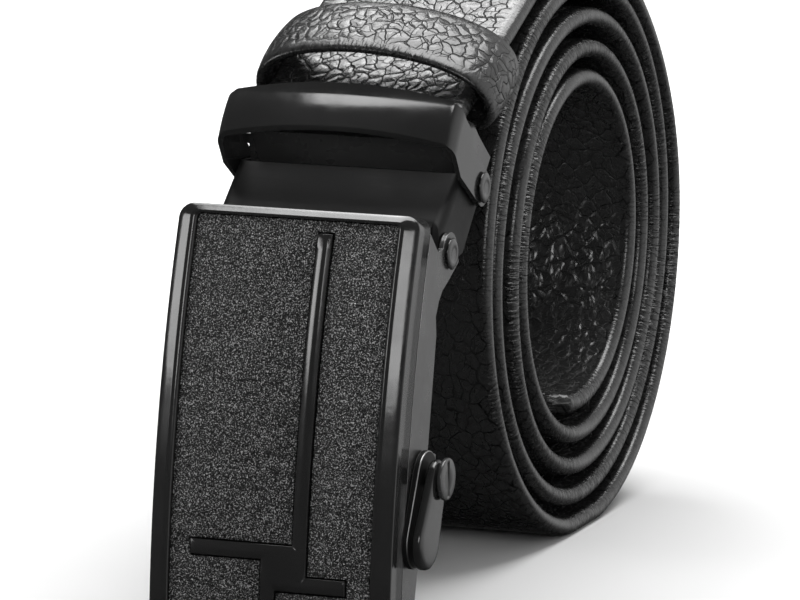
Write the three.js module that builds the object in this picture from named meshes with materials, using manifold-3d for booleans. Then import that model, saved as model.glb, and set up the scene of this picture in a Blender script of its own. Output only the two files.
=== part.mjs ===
// A leather ratchet belt, rolled up and stood on its edge with its buckle hanging in front.
// Millimetres, +Z up, +X to the right, the front of the buckle towards -Y.
import * as THREE from 'three';
import { mergeVertices } from 'three/addons/utils/BufferGeometryUtils.js';
import Module from 'manifold-3d';

const wasm = await Module();
wasm.setup();

// Driving dimensions: strap and roll
const STRAP_WIDTH = 35;
const STRAP_THICKNESS = 3;
const EDGE_SIDES = 4;
const LAYER_GAP = 2.1;
const ROLL_RADIUS = 49;
const ROLL_TURNS = 4.54;
const LEAD_SLOPE = 24;
const LEAD_LENGTH = 45;
const REST_FLAT = 0.4;
const STRAP_STEP = 5;

// How far each stretch of the roll drifts from an even spiral, as a share of the layer gap
const ROLL_TABLE = [
  { turn: -LEAD_SLOPE / 360, drift: 0.79 },
  { turn: 0.11, drift: -0.73 },
  { turn: 0.25, drift: 0.51 },
  { turn: 0.375, drift: 0.77 },
  { turn: 0.5, drift: 0.07 },
  { turn: 0.625, drift: -0.24 },
  { turn: 0.75, drift: -0.18 },
  { turn: 0.875, drift: 0.36 },
  { turn: 1.0, drift: 0.0 },
  { turn: 1.25, drift: -0.11 },
  { turn: 1.5, drift: 0.07 },
  { turn: 1.75, drift: 0.06 },
  { turn: 2.0, drift: -0.19 },
  { turn: 2.25, drift: 0.13 },
  { turn: 2.5, drift: 0.12 },
  { turn: 2.6, drift: -0.16 },
  { turn: 2.75, drift: -1.2 },
  { turn: 3.0, drift: -0.29 },
  { turn: 3.25, drift: -0.35 },
  { turn: 3.5, drift: 0.02 },
  { turn: 3.75, drift: -0.66 },
  { turn: 4.0, drift: -0.14 },
  { turn: 4.25, drift: -0.97 },
  { turn: 4.4, drift: -0.65 },
  { turn: 4.6, drift: 0.4 },
];

// Driving dimensions: toothed track, let into the inner face of the tail
const TRACK_WIDTH = 12;
const TRACK_THICKNESS = 1.1;
const TRACK_START = 2.5;
const TRACK_END = 3.85;
const TOOTH_PITCH = 4;
const TOOTH_DEPTH = 0.5;

// Driving dimensions: keeper loop
const KEEPER_SETBACK = 9;
const KEEPER_LENGTH = 14;
const KEEPER_THICKNESS = 2;
const KEEPER_SIDE_ROOM = 1;
const KEEPER_RISE = 6.2;
const KEEPER_OFFSET = 0.6;
const KEEPER_ROLL = 3.5;

// Driving dimensions: clamp, link and their rivets
const SHEET = 0.8;
const CLEARANCE = 0.3;
const BUCKLE_OVERHANG = 2.5;
const BUCKLE_WIDTH = STRAP_WIDTH + 2 * BUCKLE_OVERHANG;
const CLAMP_HINGE_SETBACK = 1.6;
const CLAMP_HINGE_DROP = 10.8;
const HOOD_ARCH = 1.5;
const HOOD_CORNER = 2.6;
const HOOD_LENGTH = 7.5;
const HOOD_TILT = 29.6;
const HOOD_HEIGHT = 16.6;
const HOOD_FORWARD = 1.9;
const HOOD_SKIRT = 6.1;
const EAR_RADIUS = 3;
const LINK_LENGTH = 16.4;
const LINK_DROP = 30;
const LINK_CORNER = 1.6;
const LINK_SHOULDER = 7;
const KNUCKLE_RADIUS = 4.1;
const JAW_LENGTH = 7;
const JAW_TAIL = 10;
const JAW_STEP = 3.8;
const JAW_WALL = 6.2;
const PIN_RADIUS = 1.1;
const RIVET_RADIUS = 2.5;
const RIVET_HEAD = 0.4;

// Driving dimensions: buckle
const FACE_LENGTH = 66.8;
const FACE_RADIUS = 205;
const FACE_CORNER = 2.4;
const RIM_WIDTH = 3.3;
const RIM_END_WIDTH = 1.5;
const RIM_HEIGHT = 0.9;
const RIM_BEVEL = 2.3;
const COVER_DEPTH = 5;
const COVER_PLATE = 2.2;
const COVER_WALL = 1.1;
const PANEL_DEPTH = 0.6;
const PANEL_THICKNESS = 0.8;
const PANEL_CORNER = 0.8;
const HOUSING_DEPTH = 13.4;
const HOUSING_INSET = 0.1;
const HOUSING_NECK = 2.8;
const HINGE_BELOW_TOP = 5;
const HINGE_BEHIND_FACE = 16.8;
const HINGE_EAR = 3.3;
const LINK_ROOM = 12;

// The raised bars on the panel: offsets from the face's middle line, rises from the panel's lower end,
// margins to the panel's ends and sides
const BAR_WIDTH = 2.3;
const LONG_BAR_OFFSET = 4.9;
const SHORT_BAR_OFFSET = -0.2;
const LEFT_ARM_RISE = 12.3;
const RIGHT_ARM_RISE = 7.6;
const LEFT_ARM_MARGIN = 3.6;
const RIGHT_ARM_MARGIN = 4.1;
const LONG_BAR_MARGIN = 2.1;
const SHORT_BAR_MARGIN = 1.3;

// Driving dimensions: release lever
const LEVER_BELOW_MIDDLE = 6.4;
const LEVER_BEHIND_FACE = 10.8;
const LEVER_LENGTH = 10;
const LEVER_FORWARD = 2.7;
const LEVER_RADIUS = 4.2;
const LEVER_PLATE = 1.0;
const LEVER_GAP = 0.8;
const PADDLE_THICKNESS = 1.6;
const SHAFT_RADIUS = 1.3;
const BUTTON_RADIUS = 3.3;
const BUTTON_THICKNESS = 0.7;
const PAWL_LENGTH = 4.4;
const PAWL_WIDTH = 24;

const ROUND_SIDES = 20;
const ARC_STEPS = 14;

function material(color, roughness, metalness) {
  return new THREE.MeshStandardMaterial({ color, roughness, metalness });
}

const LEATHER = material(0x141414, 0.5, 0);
const BLACK_METAL = material(0x1a1a1c, 0.2, 0.9);
const SATIN_METAL = material(0x4a4a4d, 0.4, 0.9);
const BLASTED_METAL = material(0x2a2a2c, 0.7, 0.8);
const PLASTIC = material(0x101010, 0.6, 0);

const radians = THREE.MathUtils.degToRad;

// Solids and booleans

function toSolid(geometry) {
  const plain = geometry.clone();
  plain.deleteAttribute('normal');
  plain.deleteAttribute('uv');
  const merged = mergeVertices(plain, 1e-4);
  const mesh = new wasm.Mesh({
    numProp: 3,
    vertProperties: new Float32Array(merged.attributes.position.array),
    triVerts: new Uint32Array(merged.index.array),
  });
  return new wasm.Manifold(mesh);
}

function toGeometry(solid) {
  const mesh = solid.getMesh();
  const geometry = new THREE.BufferGeometry();
  geometry.setAttribute('position', new THREE.BufferAttribute(mesh.vertProperties, 3));
  geometry.setIndex(new THREE.BufferAttribute(mesh.triVerts, 1));
  return geometry;
}

function addPart(parent, name, shape, look) {
  const geometry = shape.isBufferGeometry ? shape : toGeometry(shape);
  const mesh = new THREE.Mesh(geometry, look);
  mesh.name = name;
  parent.add(mesh);
}

// An outline of [y, z] points becomes a plate that spans x0 to x1
function sidePlate(outline, x0, x1) {
  const shape = new THREE.Shape(outline.map(([y, z]) => new THREE.Vector2(y, z)));
  const geometry = new THREE.ExtrudeGeometry(shape, { depth: x1 - x0, bevelEnabled: false });
  geometry.translate(0, 0, x0);
  geometry.applyMatrix4(new THREE.Matrix4().makeBasis(
    new THREE.Vector3(0, 1, 0), new THREE.Vector3(0, 0, 1), new THREE.Vector3(1, 0, 0)));
  return toSolid(geometry);
}

// An outline of [x, z] points becomes a block that spans y0 to y1
function frontBlock(outline, y0, y1) {
  const shape = new THREE.Shape(outline.map(([x, z]) => new THREE.Vector2(x, z)));
  const geometry = new THREE.ExtrudeGeometry(shape, { depth: y1 - y0, bevelEnabled: false });
  geometry.rotateX(Math.PI / 2);
  geometry.translate(0, y1, 0);
  return toSolid(geometry);
}

// A section of [x, outwards] points swept along a curve that lies in a plane of constant x
function sweep(section, path, steps) {
  const shape = new THREE.Shape(section.map(([x, out]) => new THREE.Vector2(x, out)));
  return new THREE.ExtrudeGeometry(shape, { steps, bevelEnabled: false, extrudePath: path });
}

function roundBar(y, z, radius, x0, x1) {
  const geometry = new THREE.CylinderGeometry(radius, radius, x1 - x0, ROUND_SIDES);
  geometry.rotateZ(Math.PI / 2);
  geometry.translate((x0 + x1) / 2, y, z);
  return toSolid(geometry);
}

function arcPoints(centre, radius, from, to, sides) {
  const points = [];
  for (let i = 0; i <= sides; i += 1) {
    const angle = from + ((to - from) * i) / sides;
    points.push([centre[0] + radius * Math.cos(angle), centre[1] + radius * Math.sin(angle)]);
  }
  return points;
}

function roundedRectangle(halfWidth, halfHeight, corner) {
  const x = halfWidth - corner;
  const z = halfHeight - corner;
  const quarter = Math.PI / 2;
  return [
    ...arcPoints([x, z], corner, 0, quarter, 4),
    ...arcPoints([-x, z], corner, quarter, 2 * quarter, 4),
    ...arcPoints([-x, -z], corner, 2 * quarter, 3 * quarter, 4),
    ...arcPoints([x, -z], corner, 3 * quarter, 4 * quarter, 4),
  ];
}

// The outline that wraps tightly round two discs, as a belt round two pulleys
function teardrop(first, firstRadius, second, secondRadius) {
  const dx = second[0] - first[0];
  const dz = second[1] - first[1];
  const heading = Math.atan2(dz, dx);
  const spread = Math.acos((firstRadius - secondRadius) / Math.hypot(dx, dz));
  return [
    ...arcPoints(first, firstRadius, heading + spread, heading - spread + 2 * Math.PI, 8),
    ...arcPoints(second, secondRadius, heading - spread, heading + spread, 8),
  ];
}

// A channel: a web across the top, its corners rounded and two legs down, as [x, height] points
function channelSection(halfWidth, wall, corner, arch, legs) {
  const arched = (x) => arch * (1 - (x / halfWidth) ** 2);
  const crown = (half, lift, radius) => {
    const centre = [half - radius, lift - radius + arched(half - radius)];
    const points = arcPoints(centre, radius, 0, Math.PI / 2, 4);
    points.push([half / 3, lift + arched(half / 3)]);
    return points;
  };
  const outer = crown(halfWidth, 0, corner);
  const inner = crown(halfWidth - wall, -wall, corner - wall);
  const mirrored = (points) => points.map(([x, z]) => [-x, z]).reverse();
  return [
    [halfWidth, -legs], ...outer, ...mirrored(outer), [-halfWidth, -legs],
    [wall - halfWidth, -legs], ...mirrored(inner).reverse(), ...inner.reverse(), [halfWidth - wall, -legs],
  ];
}

// The belt's middle line: a straight lead from the cut end, then the roll from outside to inside

const layerPitch = STRAP_THICKNESS + LAYER_GAP;
const rollRadii = ROLL_TABLE.map((row) => ROLL_RADIUS - layerPitch * row.turn + LAYER_GAP * row.drift);
const rollRadius = new THREE.CubicInterpolant(ROLL_TABLE.map((row) => row.turn), rollRadii, 1);
const leaveTurn = ROLL_TABLE[0].turn;
const restRadius = rollRadius.evaluate(0.5)[0] - REST_FLAT;
const rollHeight = restRadius + STRAP_THICKNESS / 2;

function rollPoint(turn) {
  const radius = rollRadius.evaluate(turn)[0];
  const angle = 2 * Math.PI * turn;
  const z = Math.max(radius * Math.cos(angle), -restRadius);
  return [radius * Math.sin(angle), rollHeight + z];
}

const leavePoint = rollPoint(leaveTurn);
const leadAlong = [-Math.cos(radians(LEAD_SLOPE)), -Math.sin(radians(LEAD_SLOPE))];
const leadOut = [leadAlong[1], -leadAlong[0]];

// A point by its distance along the lead from the roll and its height over the strap's middle
function leadPoint(along, out) {
  return [
    leavePoint[0] + along * leadAlong[0] + out * leadOut[0],
    leavePoint[1] + along * leadAlong[1] + out * leadOut[1],
  ];
}

class BeltLine extends THREE.Curve {
  constructor(from, to) {
    super();
    this.from = from;
    this.to = to;
    this.arcLengthDivisions = 1600;
  }

  // The lead counts as turns too, before the turn where it leaves the roll
  getPoint(share, target = new THREE.Vector3()) {
    const turn = this.from + (this.to - this.from) * share;
    const along = (leaveTurn - turn) * 2 * Math.PI * ROLL_RADIUS;
    const [y, z] = along > 0 ? leadPoint(along, 0) : rollPoint(turn);
    return target.set(0, y, z);
  }
}

const leadTurns = LEAD_LENGTH / (2 * Math.PI * ROLL_RADIUS);

function strapSection() {
  const half = STRAP_THICKNESS / 2;
  const flat = STRAP_WIDTH / 2 - half;
  const quarter = Math.PI / 2;
  return [
    ...arcPoints([flat, 0], half, -quarter, quarter, EDGE_SIDES),
    ...arcPoints([-flat, 0], half, quarter, 3 * quarter, EDGE_SIDES),
  ];
}

// A rectangle on the strap's inner face, from that face inwards
function innerStrip(halfWidth, depth, below) {
  const face = -STRAP_THICKNESS / 2;
  return [
    [-halfWidth, face - below], [halfWidth, face - below],
    [halfWidth, face + depth], [-halfWidth, face + depth],
  ];
}

function buildStrap() {
  const line = new BeltLine(leaveTurn - leadTurns, ROLL_TURNS);
  const band = toSolid(sweep(strapSection(), line, Math.round(line.getLength() / STRAP_STEP)));
  const grooveLine = new BeltLine(TRACK_START, TRACK_END);
  const groove = innerStrip(TRACK_WIDTH / 2 + CLEARANCE, TRACK_THICKNESS + CLEARANCE, LAYER_GAP / 8);
  return band.subtract(toSolid(sweep(groove, grooveLine, Math.round(grooveLine.getLength() / STRAP_STEP))));
}

function buildTrack() {
  const endTurns = CLEARANCE / (Math.PI * ROLL_RADIUS);
  const line = new BeltLine(TRACK_START + endTurns, TRACK_END - endTurns);
  const teeth = Math.floor(line.getLength() / TOOTH_PITCH);
  const strip = innerStrip(TRACK_WIDTH / 2, TRACK_THICKNESS, 0);
  let track = toSolid(sweep(strip, line, teeth));
  const cutter = innerStrip(TRACK_WIDTH / 2 - SHEET, TOOTH_DEPTH, TOOTH_DEPTH);
  for (let i = 1; i < teeth; i += 1) {
    const middle = line.getPointAt(i / teeth);
    const ahead = line.getPointAt((i + 0.3) / teeth);
    track = track.subtract(toSolid(sweep(cutter, new THREE.LineCurve3(middle, ahead), 1)));
  }
  return track;
}

// Keeper loop: a flat band under the strap that arches over it, and hangs a little to one side

function keeperOutline(halfWidth, top, bottom, corner) {
  const shoulder = bottom + corner;
  const points = [];
  for (let i = 0; i <= 12; i += 1) {
    const angle = (Math.PI * i) / 12;
    points.push([halfWidth * Math.cos(angle), shoulder + (top - shoulder) * Math.sin(angle) ** 0.8]);
  }
  const quarter = Math.PI / 2;
  points.push(...arcPoints([corner - halfWidth, shoulder], corner, 2 * quarter, 3 * quarter, 4).slice(1));
  points.push(...arcPoints([halfWidth - corner, shoulder], corner, 3 * quarter, 4 * quarter, 4).slice(0, -1));
  // The sweep runs against the lead, so the section's x is turned round
  const roll = radians(KEEPER_ROLL);
  return points.map(([x, out]) => [
    -KEEPER_OFFSET - x * Math.cos(roll) - out * Math.sin(roll),
    out * Math.cos(roll) - x * Math.sin(roll),
  ]);
}

function buildKeeper() {
  const half = STRAP_WIDTH / 2 + KEEPER_SIDE_ROOM;
  const top = STRAP_THICKNESS / 2 + KEEPER_RISE;
  const bottom = -STRAP_THICKNESS / 2 - CLEARANCE - (STRAP_WIDTH / 2) * Math.sin(radians(KEEPER_ROLL));
  const wall = KEEPER_THICKNESS;
  const front = LEAD_LENGTH - KEEPER_SETBACK;
  const back = front - KEEPER_LENGTH;
  const path = new THREE.LineCurve3(
    new THREE.Vector3(0, ...leadPoint(front, 0)), new THREE.Vector3(0, ...leadPoint(back, 0)));
  const longPath = new THREE.LineCurve3(
    new THREE.Vector3(0, ...leadPoint(front + wall, 0)), new THREE.Vector3(0, ...leadPoint(back - wall, 0)));
  const outer = toSolid(sweep(keeperOutline(half + wall, top + wall, bottom - wall, 2 * wall), path, 1));
  return outer.subtract(toSolid(sweep(keeperOutline(half, top, bottom, wall), longPath, 1)));
}

// Clamp: the hood over the strap's cut end, the jaw under it and the rivet that joins them

const clampHinge = [LEAD_LENGTH - CLAMP_HINGE_SETBACK, -CLAMP_HINGE_DROP];
const hoodBack = [clampHinge[0] + HOOD_FORWARD, clampHinge[1] + HOOD_HEIGHT];
const hoodAlong = [Math.cos(radians(HOOD_TILT)), -Math.sin(radians(HOOD_TILT))];
const hoodFront = [hoodBack[0] + HOOD_LENGTH * hoodAlong[0], hoodBack[1] + HOOD_LENGTH * hoodAlong[1]];
const linkHalf = BUCKLE_WIDTH / 2 - SHEET - CLEARANCE;
const jawHalf = linkHalf - SHEET - CLEARANCE;

function leadOutline(points) {
  return points.map(([along, out]) => leadPoint(along, out));
}

// A channel whose web runs from one lead point to another, cut to a side outline
function foldedSheet(section, from, to, outline) {
  const stretch = LEAD_LENGTH;
  const length = Math.hypot(to[0] - from[0], to[1] - from[1]);
  const step = [(to[0] - from[0]) / length, (to[1] - from[1]) / length];
  const path = new THREE.LineCurve3(
    new THREE.Vector3(0, ...leadPoint(to[0] + stretch * step[0], to[1] + stretch * step[1])),
    new THREE.Vector3(0, ...leadPoint(from[0] - stretch * step[0], from[1] - stretch * step[1])));
  const channel = toSolid(sweep(section, path, 1));
  return channel.intersect(sidePlate(leadOutline(outline), -BUCKLE_WIDTH, BUCKLE_WIDTH));
}

function pinHole(along, out, radius) {
  const [y, z] = leadPoint(along, out);
  return roundBar(y, z, radius + CLEARANCE, -BUCKLE_WIDTH, BUCKLE_WIDTH);
}

function buildHood() {
  const section = channelSection(BUCKLE_WIDTH / 2, SHEET, HOOD_CORNER, HOOD_ARCH, HOOD_HEIGHT + HOOD_LENGTH);
  const crown = HOOD_ARCH + SHEET;
  const outline = [
    ...arcPoints(clampHinge, EAR_RADIUS, radians(147), radians(310), 8),
    [hoodFront[0] - SHEET, hoodFront[1] - HOOD_SKIRT],
    hoodFront,
    [hoodFront[0], hoodFront[1] + crown],
    [hoodBack[0] - crown / 2, hoodBack[1] + crown],
    hoodBack,
    [hoodBack[0], hoodBack[1] - HOOD_CORNER],
    [clampHinge[0], hoodBack[1] - 0.4 * HOOD_HEIGHT],
    [clampHinge[0] + 0.3 * EAR_RADIUS, hoodBack[1] - 0.5 * HOOD_HEIGHT],
  ];
  const hood = foldedSheet(section, hoodBack, hoodFront, outline);
  return hood.subtract(pinHole(...clampHinge, PIN_RADIUS));
}

function buildJaw() {
  const top = -STRAP_THICKNESS / 2 - CLEARANCE;
  const section = channelSection(jawHalf, SHEET, LINK_CORNER, 0, HOOD_HEIGHT + EAR_RADIUS);
  const front = LEAD_LENGTH - CLEARANCE;
  const back = LEAD_LENGTH - JAW_LENGTH;
  const tail = clampHinge[0] - JAW_TAIL;
  const outline = [
    [front, top],
    [back, top],
    [back - 0.2 * JAW_LENGTH, top - JAW_STEP],
    [tail, clampHinge[1] - 0.3 * EAR_RADIUS],
    [tail + 0.8 * EAR_RADIUS, clampHinge[1] - 0.6 * EAR_RADIUS],
    ...arcPoints(clampHinge, EAR_RADIUS - CLEARANCE, radians(250), radians(380), 6),
  ];
  const inset = 0.75 * SHEET;
  const wall = (half, depth) => sidePlate(leadOutline([
    [front, top - inset], [front - SHEET, top - inset],
    [front - SHEET, top - depth], [front, top - depth],
  ]), -half, half);
  // The front wall's upper strip reaches sideways over the jaw's legs
  return foldedSheet(section, [back, top], [front, top], outline)
    .add(wall(jawHalf - inset, JAW_WALL))
    .add(wall(linkHalf, 0.4 * JAW_WALL))
    .subtract(pinHole(...clampHinge, PIN_RADIUS));
}

// A rivet across the belt: a pin with a flat head at each side
function buildRivet(y, z, halfSpan, pinRadius, headRadius, headThickness) {
  const head = halfSpan + CLEARANCE;
  const end = head + headThickness;
  const profile = [[0, -end], [headRadius, -end], [headRadius, -head], [pinRadius, -head],
    [pinRadius, head], [headRadius, head], [headRadius, end], [0, end]];
  const geometry = new THREE.LatheGeometry(profile.map(([r, a]) => new THREE.Vector2(r, a)), ROUND_SIDES);
  geometry.rotateZ(-Math.PI / 2);
  geometry.translate(0, y, z);
  return toSolid(geometry);
}

// Link between the clamp and the buckle: its web ends in a tab that curls round the buckle's rivet

const linkDirection = [Math.cos(radians(LINK_DROP - LEAD_SLOPE)), -Math.sin(radians(LINK_DROP - LEAD_SLOPE))];
const buckleHinge = [
  clampHinge[0] + LINK_LENGTH * linkDirection[0],
  clampHinge[1] + LINK_LENGTH * linkDirection[1],
];
const linkTop = [clampHinge[0] + 0.69 * LINK_SHOULDER, clampHinge[1] + 0.79 * LINK_SHOULDER];
const linkReach = [buckleHinge[0] - linkTop[0], buckleHinge[1] - linkTop[1]];
const linkTurn = Math.asin(KNUCKLE_RADIUS / Math.hypot(...linkReach));
const webAngle = Math.atan2(linkReach[1], linkReach[0]) + linkTurn;
const curlStart = webAngle + Math.PI / 2;
const webEnd = [
  buckleHinge[0] + KNUCKLE_RADIUS * Math.cos(curlStart),
  buckleHinge[1] + KNUCKLE_RADIUS * Math.sin(curlStart),
];
const linkFoot = [
  webEnd[0] - 0.85 * EAR_RADIUS * Math.cos(webAngle),
  webEnd[1] - 0.85 * EAR_RADIUS * Math.sin(webAngle),
];

function buildLink() {
  const section = channelSection(linkHalf, SHEET, LINK_CORNER, 0, LINK_LENGTH);
  const outline = [
    ...arcPoints(clampHinge, EAR_RADIUS - CLEARANCE, radians(100), radians(230), 6),
    [clampHinge[0] + EAR_RADIUS / 2, clampHinge[1] - EAR_RADIUS],
    [buckleHinge[0] - LINK_SHOULDER, buckleHinge[1] - 1.5 * EAR_RADIUS],
    ...arcPoints(buckleHinge, EAR_RADIUS, radians(260), radians(410), 8),
    linkFoot,
    linkTop,
  ];
  const inner = KNUCKLE_RADIUS - SHEET;
  const back = [linkFoot[0] - SHEET * Math.cos(webAngle), linkFoot[1] - SHEET * Math.sin(webAngle)];
  const tabHalf = linkHalf - 2 * SHEET;
  const tab = sidePlate(leadOutline([
    back,
    ...arcPoints(buckleHinge, KNUCKLE_RADIUS, curlStart, 0, 7),
    ...arcPoints(buckleHinge, inner, 0, curlStart, 7),
    [back[0] + SHEET * Math.sin(webAngle), back[1] - SHEET * Math.cos(webAngle)],
  ]), -tabHalf, tabHalf);
  return foldedSheet(section, linkTop, linkFoot, outline)
    .add(tab)
    .subtract(pinHole(...clampHinge, PIN_RADIUS))
    .subtract(pinHole(...buckleHinge, PIN_RADIUS));
}

// Buckle: built upright with the middle of its face at the origin, then leant until its foot rests

const halfFace = FACE_LENGTH / 2;
const halfBuckle = BUCKLE_WIDTH / 2;
const facePath = new (class extends THREE.Curve {
  getPoint(share, target = new THREE.Vector3()) {
    const reach = Math.asin((halfFace + COVER_DEPTH) / FACE_RADIUS);
    const angle = reach * (2 * share - 1);
    return target.set(0, FACE_RADIUS * (1 - Math.cos(angle)), FACE_RADIUS * Math.sin(angle));
  }
})();

function curved(section) {
  return toSolid(sweep(section, facePath, ARC_STEPS));
}

function curvedBlock(halfWidth, from, to) {
  return curved([[-halfWidth, from], [halfWidth, from], [halfWidth, to], [-halfWidth, to]]);
}

function faceDrop(z) {
  return FACE_RADIUS - Math.sqrt(FACE_RADIUS ** 2 - z ** 2);
}

const barHalf = BAR_WIDTH / 2;
const panelHalfWidth = halfBuckle - RIM_WIDTH;
const panelHalfLength = halfFace - RIM_END_WIDTH;

// The bars make a pinwheel: each one starts at a corner of the block in the middle
function ornament(grow) {
  const long = LONG_BAR_OFFSET;
  const short = SHORT_BAR_OFFSET;
  const high = LEFT_ARM_RISE - panelHalfLength;
  const low = RIGHT_ARM_RISE - panelHalfLength;
  const bars = [
    { x: [long - barHalf, long + barHalf], z: [low - barHalf, panelHalfLength - LONG_BAR_MARGIN] },
    { x: [LEFT_ARM_MARGIN - panelHalfWidth, long + barHalf], z: [high - barHalf, high + barHalf] },
    { x: [short - barHalf, short + barHalf], z: [SHORT_BAR_MARGIN - panelHalfLength, high + barHalf] },
    { x: [short - barHalf, panelHalfWidth - RIGHT_ARM_MARGIN], z: [low - barHalf, low + barHalf] },
    { x: [short - barHalf, long + barHalf], z: [low - barHalf, high + barHalf] },
  ];
  const blocks = bars.map(({ x, z }) => frontBlock([
    [x[0] - grow, z[0] - grow], [x[1] + grow, z[0] - grow],
    [x[1] + grow, z[1] + grow], [x[0] - grow, z[1] + grow]], -COVER_DEPTH, FACE_LENGTH));
  return blocks.reduce((joined, block) => joined.add(block));
}

function buildCover() {
  const front = RIM_HEIGHT;
  const body = curved([
    [-halfBuckle, -COVER_DEPTH], [halfBuckle, -COVER_DEPTH], [halfBuckle, 0],
    [halfBuckle - RIM_BEVEL, front], [RIM_BEVEL - halfBuckle, front], [-halfBuckle, 0]]);
  const outline = frontBlock(
    roundedRectangle(halfBuckle, halfFace, FACE_CORNER), -COVER_DEPTH, 4 * COVER_DEPTH);
  const endDrop = faceDrop(halfFace);
  const ridge = endDrop - (halfFace * RIM_HEIGHT) / RIM_BEVEL;
  const ends = sidePlate([
    [endDrop + FACE_LENGTH, -halfFace], [endDrop + FACE_LENGTH, halfFace], [endDrop, halfFace], [ridge, 0],
    [endDrop, -halfFace]], -BUCKLE_WIDTH, BUCKLE_WIDTH);
  const pocketFloor = front - PANEL_DEPTH - PANEL_THICKNESS - CLEARANCE;
  const pocket = curvedBlock(panelHalfWidth, pocketFloor, 2 * COVER_DEPTH)
    .intersect(frontBlock(roundedRectangle(panelHalfWidth, panelHalfLength, PANEL_CORNER),
      -FACE_LENGTH, FACE_LENGTH))
    .subtract(ornament(0));
  const innerHalf = halfBuckle - COVER_WALL;
  const hollow = curvedBlock(innerHalf, -2 * COVER_DEPTH, -COVER_PLATE)
    .intersect(frontBlock(roundedRectangle(innerHalf, halfFace - COVER_WALL, FACE_CORNER - COVER_WALL),
      -FACE_LENGTH, FACE_LENGTH));
  return body.intersect(outline).intersect(ends).subtract(pocket).subtract(hollow);
}

function buildPanel() {
  const top = RIM_HEIGHT - PANEL_DEPTH;
  return curvedBlock(panelHalfWidth - CLEARANCE, top - PANEL_THICKNESS, top)
    .intersect(frontBlock(roundedRectangle(
      panelHalfWidth - CLEARANCE, panelHalfLength - CLEARANCE, PANEL_CORNER - CLEARANCE / 2),
    -FACE_LENGTH, FACE_LENGTH))
    .subtract(ornament(CLEARANCE));
}

// Places on the buckle as [y, z]: y grows behind the face, z upwards from its middle
const hingeSpot = [HINGE_BEHIND_FACE, halfFace - HINGE_BELOW_TOP];
const leverSpot = [LEVER_BEHIND_FACE, -LEVER_BELOW_MIDDLE];
const housingHalf = halfBuckle - HOUSING_INSET;
const housingInner = halfBuckle - COVER_WALL - CLEARANCE;
const housingEnd = halfFace - COVER_WALL - CLEARANCE;

function buildHousing() {
  const web = -COVER_PLATE - CLEARANCE;
  const shelf = -COVER_DEPTH - CLEARANCE;
  const deep = -2 * HOUSING_DEPTH;
  const half = [
    [housingInner, web], [housingInner, shelf], [housingHalf, shelf], [housingHalf, deep],
    [housingHalf - SHEET, deep], [housingHalf - SHEET, shelf - SHEET],
    [housingInner - SHEET, shelf - SHEET], [housingInner - SHEET, web - SHEET],
  ];
  const channel = curved([...half, ...half.map(([x, out]) => [-x, out]).reverse()]);
  const back = HOUSING_DEPTH;
  const neck = hingeSpot[1] - (4 / 3) * HINGE_EAR;
  const boss = leverSpot[0] + 1.5 * LEVER_RADIUS;
  const silhouette = sidePlate([
    [-COVER_DEPTH, housingEnd],
    [1.2 * COVER_DEPTH, housingEnd],
    [hingeSpot[0] - 1.6 * HINGE_EAR, hingeSpot[1]],
    ...arcPoints(hingeSpot, HINGE_EAR, radians(170), radians(40), 8),
    [hingeSpot[0] + 1.25 * HINGE_EAR, hingeSpot[1] - HINGE_EAR / 3],
    [back + 1.2 * HOUSING_NECK, neck],
    [back, neck - 1.15 * HOUSING_NECK],
    [back - 0.3 * HOUSING_NECK, neck - 2 * HOUSING_NECK],
    [back, neck - 3 * HOUSING_NECK],
    [back, leverSpot[1] + LEVER_RADIUS],
    [boss, leverSpot[1] + 0.85 * LEVER_RADIUS],
    [boss, leverSpot[1] - LEVER_RADIUS],
    [back, leverSpot[1] - 1.5 * LEVER_RADIUS],
    [back - HOUSING_NECK / 3, 2 * HOUSING_NECK - housingEnd],
    [back - 1.4 * HOUSING_NECK, -housingEnd],
    [-COVER_DEPTH, -housingEnd],
  ], -BUCKLE_WIDTH, BUCKLE_WIDTH);
  const inside = roundedRectangle(housingInner, housingEnd, FACE_CORNER - COVER_WALL);
  const coverShell = curvedBlock(BUCKLE_WIDTH, shelf, 0)
    .subtract(frontBlock(inside, -FACE_LENGTH, FACE_LENGTH));
  const hinge = roundBar(...hingeSpot, PIN_RADIUS + CLEARANCE, -BUCKLE_WIDTH, BUCKLE_WIDTH);
  const shaft = roundBar(...leverSpot, SHAFT_RADIUS + CLEARANCE, -BUCKLE_WIDTH, BUCKLE_WIDTH);
  const roomHalf = linkHalf + CLEARANCE;
  const linkRoom = frontBlock([
    [-roomHalf, housingEnd - LINK_ROOM], [roomHalf, housingEnd - LINK_ROOM],
    [roomHalf, halfFace], [-roomHalf, halfFace]], COVER_DEPTH + faceDrop(halfFace), FACE_LENGTH);
  return channel
    .intersect(silhouette)
    .subtract(coverShell)
    .subtract(hinge)
    .subtract(shaft)
    .subtract(linkRoom);
}

const plateSide = housingHalf + CLEARANCE;
const paddleSide = plateSide + LEVER_PLATE + LEVER_GAP;
const buttonSide = paddleSide + PADDLE_THICKNESS + CLEARANCE;
const paddleSpot = [leverSpot[0] - LEVER_FORWARD, leverSpot[1] - LEVER_LENGTH];

function buildLeverPlate() {
  const outline = teardrop(leverSpot, LEVER_RADIUS, paddleSpot, LEVER_RADIUS);
  return sidePlate(outline, plateSide, plateSide + LEVER_PLATE)
    .subtract(roundBar(...leverSpot, SHAFT_RADIUS + CLEARANCE, 0, BUCKLE_WIDTH));
}

function buildLever() {
  const outline = teardrop(leverSpot, 0.7 * LEVER_RADIUS, paddleSpot, LEVER_RADIUS);
  return sidePlate(outline, paddleSide, paddleSide + PADDLE_THICKNESS)
    .subtract(roundBar(...leverSpot, SHAFT_RADIUS + CLEARANCE, 0, BUCKLE_WIDTH));
}

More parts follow.
